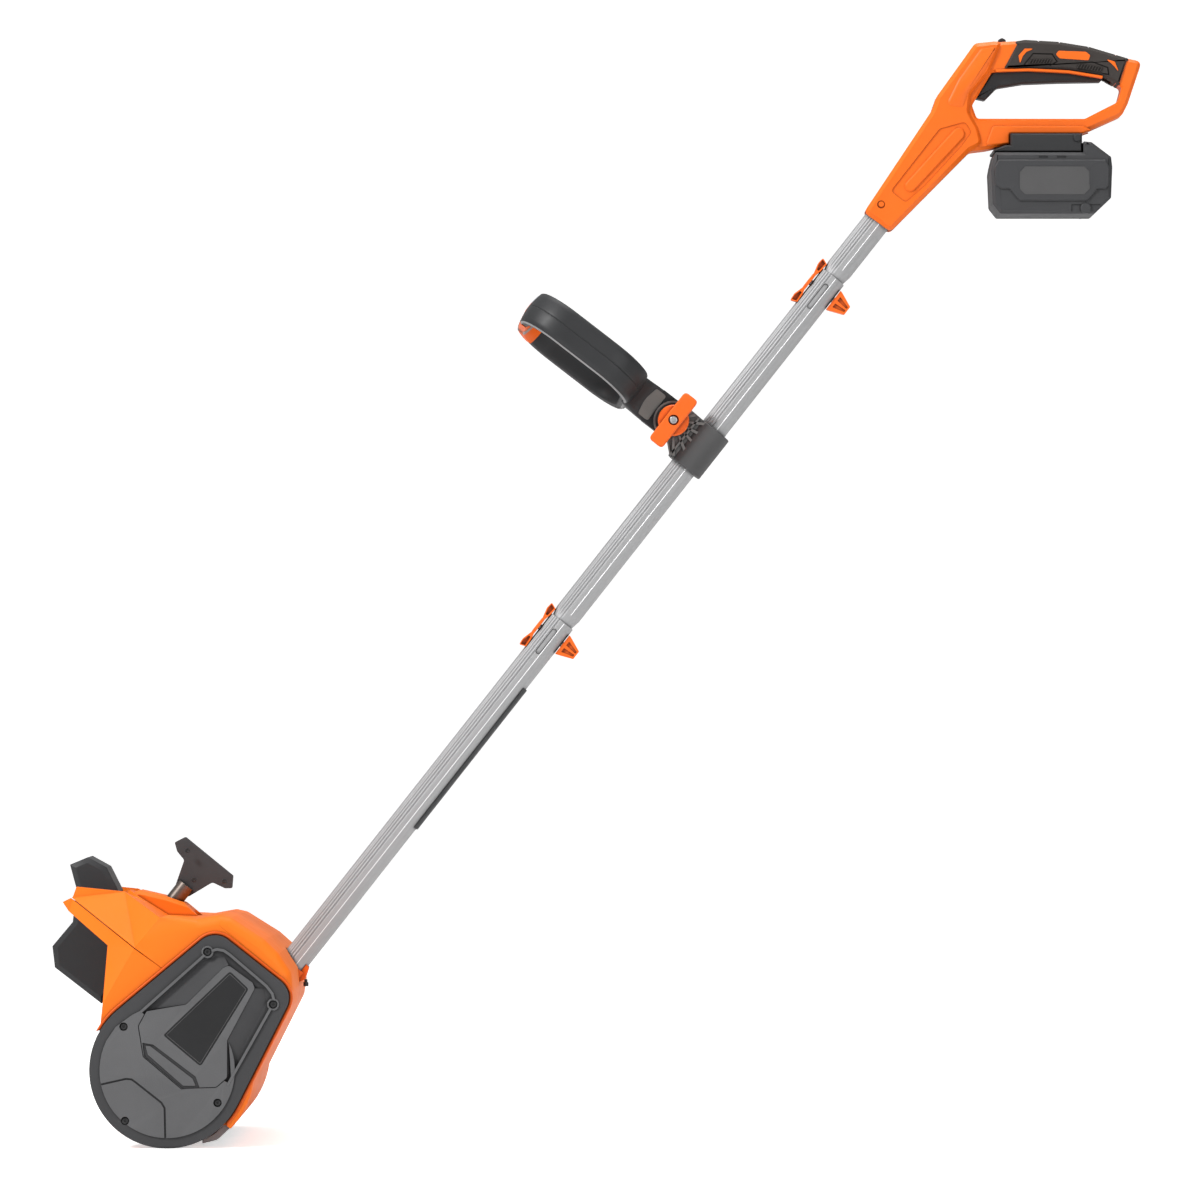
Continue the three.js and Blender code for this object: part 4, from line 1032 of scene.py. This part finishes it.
def front_handle():
    clamp_bracket()
    bolt = lathe(
        "pivot_bolt_shape",
        [(0, -33.2), (3.2, -33.6), (4, -33), (4, 17.3), (7.5, 17.3), (7.5, 21), (6.8, 22), (0, 22)], "y",
        (0, 0, 0), PIVOT, 36)
    dress(bolt, STEEL, ("pivot_bolt",), 0.2, body="bracket")

    rim = [(PIVOT_BOLT_HOLE_R, -17.4), (15.5, -17.4), (15.5, -26), (14.3, -27.6), (PIVOT_BOLT_HOLE_R, -28)]
    disc = lathe("disc", rim, "y", (0, 0, 0), PIVOT, 60)
    bar = rounded([(-29.5, -8.3, 4.5), (29.5, -8.3, 4.5), (29.5, 8.3, 4.5), (-29.5, 8.3, 4.5)], 6)
    slim = grown(bar, -1.2)
    grip = stepped("grip", [(slim, -34), (bar, -32.6), (bar, -25)], PIVOT)
    boolean(grip, [prism("recess", circle(0, 0, 5.3, 32), -36, -30.4, PIVOT)])
    dress(
        merged("front_knob_shape", [disc, grip]), ORANGE_KNOB, ("front_knob",), 0.7, 3,
        body="front_handle_knob")
    nut = [(4 * cos(pi * i / 3), 4 * sin(pi * i / 3)) for i in range(6)]
    dress(prism("front_knob_nut", nut, -33, -30.6, PIVOT), STEEL, bevel=0.4, body="front_handle_knob")

    band = loft("band", round_loop(band_section(), loop_path()), LOOP, closed=True)
    tongue = prism(
        "tongue", circle(0, 0, 19, 20, pi / 2, pi * 1.5) + [(26, -19), (26, 19)], -9.9, 9.9, ARM)
    boolean(tongue, [rod("hole", PIVOT_BOLT_HOLE_R, -20, 20, "y", (0, 0, 0), ARM, 24)])
    flare = loft(
        "flare",
        [
            box_ring(24, 9.7, 18.9, 2), box_ring(34, 10.6, 18.6, 3), box_ring(41, 14, 18.2, 5),
            box_ring(47, 20, 17.8, 6), box_ring(53, 30, 17.2, 7)],
        ARM)
    dress(
        merged("front_loop_shape", [band, tongue, flare]), DARK, ("front_loop",), 0.5, 2, 40,
        body="front_handle")
    patch = prism(
        "arm_patch", rounded([(20.5, -15.5, 3), (33, -15.5, 3), (36, 0), (33, 15.5, 3), (20.5, 15.5, 3)]),
        -11.2, -9.5, ARM)
    dress(patch, PATCH, bevel=0.4, body="front_handle")
    edge = [(3, 17.4), (4.2, 18.6), (5.6, 18.6), (5.6, 17.2)]
    dress(
        loft("loop_edge", round_loop(edge, loop_path()), LOOP, closed=True), SCRAPER, bevel=0.2,
        body="front_handle", slot="dark_plastic")
    wrap = [
        (1.2, -13), (-0.4, -4), (-0.4, 4), (1.2, 13), (2.2, 16.5), (3.6, 18.9), (10.4, 18.9), (11.6, 16.5),
        (13, 9), (13.4, 0), (12.6, -13)]
    start = [(LOOP_ENDS[1] - LOOP_CORNER_R, -16, 0.0)]
    ring = loft("loop_inlay_ring", round_loop(wrap, start + far_end(*range(0, 49, 6))), LOOP)
    dress(ring, ORANGE_KNOB, ("loop_inlay",), 0.4, 2, body="front_handle")
    tile = [(off - 0.5 if off < 6 else off + 0.5, z) for off, z in wrap]
    start = [(LOOP_ENDS[1] - LOOP_CORNER_R, 11, 0.0)]
    dress(
        loft("loop_inlay_tile", round_loop(tile, start + far_end(0, 6, 12)), LOOP), TILE, bevel=0.4,
        segments=2, body="front_handle")


# ---- rear handle

HANDLE_OUTLINE = [
    (269.5, 923, 6), (296, 903.8, 6), (375.5, 984, 6), (391.5, 986, 6), (415, 991, 3), (415, 1001),
    (485.5, 1001, 2), (527.5, 1020, 9), (533.5, 1032, 8), (547.6, 1074.2, 6), (533.5, 1077, 6),
    (494.5, 1088, 10), (463.5, 1093, 10), (430.5, 1095, 6), (380.5, 1092, 7), (342.5, 1039, 8),
    (337.5, 1025, 8),
]
HAND_OPENING = [
    (377.7, 1030, 4), (382.5, 1016.8, 4), (490.3, 1016.6, 5), (523.5, 1033.5, 8), (527.3, 1048, 4),
    (509.5, 1060), (474.5, 1065), (434.5, 1066.5), (397.5, 1063),
]
STALK = [
    (269.5, 923, 6), (296, 903.8, 6), (375.5, 984, 6), (389, 991, 8), (384.5, 1008, 8), (375.5, 1024, 8),
    (377.5, 1040, 8), (396, 1063, 6), (409.5, 1095, 6), (380.5, 1092, 7), (342.5, 1039, 8),
    (337.5, 1025, 8),
]
CHANNEL = [
    (296.5, 944, 4), (311, 932.5, 4), (331, 950), (367, 989, 5), (377, 1003, 5), (370.5, 1013, 5),
    (345, 1006, 5),
]
FINGER = [(316, 949, 6), (364, 1001, 6.5)]
HEAD_PANEL = [
    (386, 1086.5, 4), (404, 1089, 3), (390.5, 1063, 3), (374, 1042, 4), (369, 1027, 4), (351, 1030, 5),
    (364, 1056, 6),
]
BASE_BLOCK = [
    (390.3, 989, 3), (398, 1009.6, 4), (489, 1009.6, 3), (497, 1005), (486, 1001.2), (415.4, 1001.2),
    (415.4, 991.3),
]
TRIGGER_LIP = [(401, 1064.6), (434, 1065.6), (474, 1063.6), (508, 1058.2)]
GRIP_OUTLINE = [
    (421.1, 1094, 2), (421.1, 1090.7), (407.8, 1066, 2), (434.5, 1066.5), (474.5, 1064.8), (505.7, 1060),
    (516.9, 1053.7), (525.2, 1049.5, 2), (534.3, 1076.7, 2), (494.5, 1088.6, 10), (463.5, 1093.6, 10),
    (430.5, 1095.6, 3),
]
TRIGGER = [
    (380.8, 1038, 1.5), (391, 1035.8, 2.5), (402.9, 1048.1, 5), (428.8, 1052.3), (463.7, 1053.7),
    (506.5, 1054.4, 2), (510.5, 1060), (474.5, 1067), (434.5, 1069), (399.5, 1065.5, 3),
]
TRIGGER_SLOT = [
    (374.5, 1037), (390.5, 1027), (520.5, 1043), (515.5, 1065), (474.5, 1075), (434.5, 1078), (396.5, 1075),
]
CHEVRON_LEFT = [
    (439.9, 1086.5, 0.8), (430.2, 1086.5, 1), (423.9, 1079.5, 1), (425.3, 1071.3, 0.6), (428.3, 1079, 1),
    (432, 1083.2, 1),
]
CHEVRON_RIGHT = [
    (510.6, 1076.3, 0.8), (520, 1073.5, 1.5), (524.5, 1062.3, 0.6), (519.5, 1068.6, 1), (516.5, 1071.6, 1),
]
CENTRE_INLAY = [
    (461, 1080.6, 2), (465, 1076.6, 2), (494, 1074.6, 2), (495.6, 1080, 2), (491, 1083.4, 2),
    (464, 1084.4, 2),
]
HEX_LEFT = [(429.5, 1070.5), (438.5, 1081.5), (457.5, 1081), (462.5, 1073.5), (455, 1069.5)]
HEX_RIGHT = [(476, 1071.5), (498, 1073), (513, 1067.5), (514, 1060.5), (483, 1066.5)]


def mirrored(made, name):
    mesh = made.data.copy()
    for vertex in mesh.vertices:
        vertex.co.y = -vertex.co.y
    mesh.flip_normals()
    return placed(name, mesh)


def both_sides(made, material, nodes=(), **look):
    """Dresses a near piece and its far twin."""
    twin = mirrored(made, made.name + "_far")
    dress(made, material, nodes[:1], **look)
    dress(twin, material, nodes[1:], **look)


def inside_cutters():
    """Tube bore and trigger slot, as wide as the whole handle."""
    profile = [(0, 880), (TUBE_CLEARANCE_R, 880), (TUBE_CLEARANCE_R, 992), (7, 992), (7, 1030), (0, 1030)]
    bore = lathe("bore", profile, "x", space=SHAFT)
    return [bore, prism("slot", TRIGGER_SLOT, -TRIGGER_SLOT_Y, TRIGGER_SLOT_Y)]


def handle():
    outline = rounded(HANDLE_OUTLINE, 4)
    opening = rounded(HAND_OPENING, 4)
    shell = raised("handle_near", outline, 3.4, -17, -13)
    rows = [(grown(opening, 5), -20), (grown(opening, 2.6), -17.2), (opening, -14.4), (opening, 1)]
    cutter = stepped("opening", rows)
    boolean(shell, [cutter])
    boolean(shell, inside_cutters())
    both_sides(shell, ORANGE_HANDLE, ("handle_shell_left", "handle_shell_right"), bevel=0, angle=20)
    stalk = raised("stalk_near", rounded(STALK, 4), 4, -20.4, -15.6)
    boolean(stalk, inside_cutters())
    channel = rounded(CHANNEL, 4)
    boolean(stalk, [stepped("channel", [(grown(channel, 0.6), -21), (channel, -19.6), (channel, -19.4)])])
    boolean(stalk, [prism("boss", circle(286.5, 930.5, 4, 24), -21, -18.6)])
    both_sides(stalk, ORANGE_HANDLE, bevel=0, angle=20)
    finger = raised("finger_near", around_circles(FINGER, 20), 1.6, -21.2, -19.6, -17)
    both_sides(finger, ORANGE_HANDLE, bevel=0.5, segments=2)
    panel = raised("head_panel_near", rounded(HEAD_PANEL, 4), 2.4, -21.6, -20.2, -18)
    both_sides(panel, ORANGE_HANDLE, bevel=0.5, segments=2)
    profile = [(0, -18.6), (2.9, -18.6), (3.3, -19.4), (2.6, -20), (0, -20)]
    plug = lathe("boss_plug_near", profile, "y", (286.9, 0, 930.9), steps=28)
    both_sides(plug, ORANGE_HANDLE, bevel=0.2)
    base = raised("base_block_near", rounded(BASE_BLOCK, 4), 1.4, -18.8, -17.4, -16)
    both_sides(base, ORANGE_HANDLE, bevel=0.6, segments=2)
    lip = ribbon(TRIGGER_LIP, 2.6)
    both_sides(prism("trigger_lip_near", lip, -18, -9.9), ORANGE_HANDLE, bevel=0.5)


def grip():
    sleeve = pillow("grip_sleeve", rounded(GRIP_OUTLINE, 4), 3.2, 18.8, 15.8)
    cutters = [prism("slot", TRIGGER_SLOT, -TRIGGER_SLOT_Y, TRIGGER_SLOT_Y)]
    for x, z in ((444, 1095.2), (465, 1093.9), (494, 1089.3), (521, 1081.2)):
        cutters.append(prism("gap", [(x - 1.8, z + 1.5), (x, z - 2), (x + 1.8, z + 1.5)], -30, 30))
    for x, z in ((521, 1052), (512, 1056.5)):
        cutters.append(prism("gap", [(x - 1.6, z - 2.5), (x, z + 1), (x + 1.6, z - 2.5)], -30, 30))
    for shape in (HEX_LEFT, HEX_RIGHT):
        line = ribbon(shape, 1.3)
        cutters += [prism("line", line, -20, -17.4), prism("line", line, 17.4, 20)]
    boolean(sleeve, cutters)
    dress(sleeve, GRIP, ("handle_grip",), 0, angle=20)
    for name, shape in (("left", CHEVRON_LEFT), ("centre", CENTRE_INLAY), ("right", CHEVRON_RIGHT)):
        inlay = prism(f"grip_inlay_{name}", rounded(shape, 3), -19.3, -17.5)
        both_sides(inlay, ORANGE_HANDLE, bevel=0.35, segments=2)
    for side, x0, z0, slope, count in (("left", 434, 1071.5, 0, 8), ("right", 482, 1067, -0.16, 9)):
        bars = []
        for i in range(count):
            x, z = x0 + 2.8 * i, z0 + 2.8 * i * slope
            bars.append(
                prism("bar", [(x, z), (x + 1.1, z), (x + 3.6, z + 4.6), (x + 2.5, z + 4.6)], -19.9, -18))
        both_sides(merged(f"grip_ribs_{side}", bars), GRIP, bevel=0.25, segments=2)


def trigger():
    lever = pillow("trigger_shape", rounded(TRIGGER, 4), 1.6, 9, 7.4)
    dress(lever, DARK, ("trigger",), 0.8, 3, body="trigger_lever")
    band = ribbon([(394, 1039.8), (404.2, 1050.6), (428.8, 1054.5), (463.7, 1055.9), (500, 1056.4)], 1)
    for side in (-1, 1):
        face = sorted((side * 8.6, side * 9.3))
        dress(
            prism(f"trigger_line_{'near' if side < 0 else 'far'}", band, *face), BLACK, bevel=0.2,
            body="trigger_lever", slot="dark_plastic")
    button = [(404.7, 1088.5), (412.3, 1088.5), (412.3, 1097, 1.5), (408.5, 1099, 2), (404.7, 1097, 1.5)]
    dress(
        prism("lock_button_shape", rounded(button), -3.9, 3.9), DARK, ("lock_off_button",), 0.9, 3,
        body="lock_button")


# ---- battery

CASE = [
    (395.5, 963), (397, 930, 4), (404.5, 920.3, 3), (498.5, 920.3, 3), (515, 936, 3), (516.2, 967),
    (515, 977, 1.5), (495.5, 991.7, 2), (487.5, 992.5, 1), (487.5, 981.4), (399.5, 981.4, 2), (396.5, 969),
]
FACE = [
    (402.5, 974, 2), (398.8, 967), (399.4, 949, 2), (405.5, 944.5), (413.5, 944.5, 1), (423.5, 932.6, 1),
    (491, 932.6, 1), (501.5, 944.5, 1), (509.5, 944.5), (512.8, 949, 2), (513.2, 966.5), (509.5, 974, 2),
]
BATTERY_LABEL = [
    (429, 938.9, 1), (488, 938.9, 1), (493.7, 944.5, 1), (493.7, 961.5, 1), (488, 967.5, 1),
    (429, 967.5, 1), (423.3, 961.5, 1), (423.3, 944.5, 1),
]


def battery():
    case = pillow("battery_shape", rounded(CASE, 4), 3, 35.4, 32.6)
    cutters = [
        prism("well", [(430.5, 967), (475.5, 967), (475.5, 987), (430.5, 987)], -20, 20),
        prism("notch", [(512, 952.6), (520.5, 952.6), (520.5, 969.4), (512, 969.4)], -14.4, 14.4)]
    for side in (-1, 1):
        depth = sorted((side * 34.2, side * 38))
        cutters.append(
            prism(
                "recess", rounded([(475, 921.8, 1), (501, 921.8, 1), (505, 929.6, 1), (475, 929.6, 1)]),
                *depth))
        for x in (443, 461):
            cutters.append(
                prism(
                    "dash",
                    rounded([(x, 975.6, 0.6), (x + 9, 975.6, 0.6), (x + 9, 978, 0.6), (x, 978, 0.6)]),
                    *depth))
    boolean(case, cutters)
    dress(case, BATTERY, ("battery_case",), 0, angle=20, body="battery")
    plate = raised("battery_face_near", rounded(FACE, 3), 1.2, -37.4, -36.2, -34)
    boolean(plate, [prism("label", rounded(BATTERY_LABEL, 2), -39, -36.9)])
    both_sides(plate, BATTERY, bevel=0, angle=20, body="battery")
    label = prism("battery_label_near", rounded(BATTERY_LABEL, 2), -37.1, -36.4)
    both_sides(label, GREY, bevel=0.2, body="battery", slot="battery_plastic")
    for name, x in (("rear", 509.5), ("front", 405.5)):
        lean = 1 if name == "rear" else -1
        line = ribbon(
            [
                (x, 971), (x - lean * 12, 971), (x - lean * 16, 965), (x - lean * 16, 950),
                (x - lean * 9, 942.5)],
            1.1)
        both_sides(
            prism(f"battery_ridge_{name}", line, -37.5, -36.5), BATTERY, bevel=0.3, segments=2,
            body="battery")
    button = lathe(
        "battery_stud_near", [(0, -34), (5.4, -34), (5.4, -36), (4.6, -36.8), (0, -36.8)], "y",
        (489.5, 0, 925.7), DATUM, 32)
    both_sides(button, BATTERY, bevel=0.3, body="battery")
    foot = rounded(
        [
            (398.5, 982, 1), (398, 984), (410, 989), (415.5, 989), (415.5, 1000.7), (486.5, 1000.7),
            (486.5, 982)],
        3)
    dress(pillow("battery_foot_shape", foot, 1.5, 30, 28.4), DARK, ("battery_foot",), 0.6, 2)
    hook = lathe(
        "foot_stud_near", [(0, -29.6), (3.9, -29.6), (3.9, -31), (3.2, -31.8), (0, -31.8)], "y",
        (481.5, 0, 996), DATUM, 28)
    both_sides(hook, DARK, bevel=0.3)
    latch = rounded([(515.1, 953.5, 0.5), (517.3, 955, 1), (517.3, 967, 1), (515.1, 968.5, 0.5)], 3)
    dress(
        prism("battery_latch_shape", latch, -13.5, 13.5), BLACK, ("battery_latch",), 0.3,
        body="battery_release")


housing_details()
near_cover()
far_cover()
deflector()
shaft()
front_handle()
handle()
grip()
trigger()
battery()

# ---- floor, lights, camera


def backdrop():
    """Pale floor that curves up behind the object."""
    points = [(-14, 0), (6, 0)]
    points += [(6 + 3 * sin(a), 3 - 3 * cos(a)) for a in (pi * i / 24 for i in range(1, 13))]
    points.append((9, 14))
    mesh = bpy.data.meshes.new("floor")
    verts = [(x, y, z) for y, z in points for x in (-14, 14)]
    faces = [(2 * i, 2 * i + 1, 2 * i + 3, 2 * i + 2) for i in range(len(points) - 1)]
    mesh.from_pydata(verts, [], faces)
    mesh.shade_smooth()
    material, tree, shader = new_material("floor_pale")
    shader.inputs["Roughness"].default_value = 0.9
    shader.inputs["Base Color"].default_value = (0.9, 0.9, 0.9, 1)
    shader.inputs["Emission Color"].default_value = (1, 1, 1, 1)
    seen = tree.nodes.new("ShaderNodeLightPath").outputs["Is Camera Ray"]
    tree.links.new(spread(tree, seen, 0, 0.55, 0, 1), shader.inputs["Emission Strength"])
    mesh.materials.append(material)
    placed("floor", mesh)


def area_light(name, place, target, size, power):
    light = bpy.data.lights.new(name, "AREA")
    light.shape = "RECTANGLE"
    light.size, light.size_y = size
    light.energy = power
    lamp = placed(name, light)
    lamp.location = place
    lamp.rotation_euler = (Vector(target) - Vector(place)).to_track_quat("-Z", "Y").to_euler()


def studio():
    backdrop()
    world = bpy.data.worlds.new("studio")
    bpy.context.scene.world = world
    world.use_nodes = True
    background = world.node_tree.nodes["Background"]
    background.inputs["Color"].default_value = (1, 1, 1, 1)
    background.inputs["Strength"].default_value = 0.4
    area_light("key", (-3.2, -2.6, 3.6), (0, 0, 0.5), (0.9, 0.9), 215)
    area_light("fill", (2.6, -3.8, 1.4), (0, 0, 0.5), (1.6, 1.6), 45)
    area_light("top", (0.3, 0.2, 3.4), (0, 0, 0.5), (2.2, 2.2), 60)
    bpy.context.scene.view_settings.view_transform = "Standard"


def camera():
    lens = bpy.data.cameras.new("camera")
    lens.sensor_width = SENSOR
    lens.lens = SENSOR * CAMERA_DISTANCE / FRAME_WIDTH
    lens.clip_end = 100
    eye = placed("camera", lens)
    eye.location = CAMERA_PLACE
    eye.rotation_euler = (Vector(CAMERA_AIM) - eye.location).to_track_quat("-Z", "Y").to_euler()
    bpy.context.scene.camera = eye


studio()
camera()
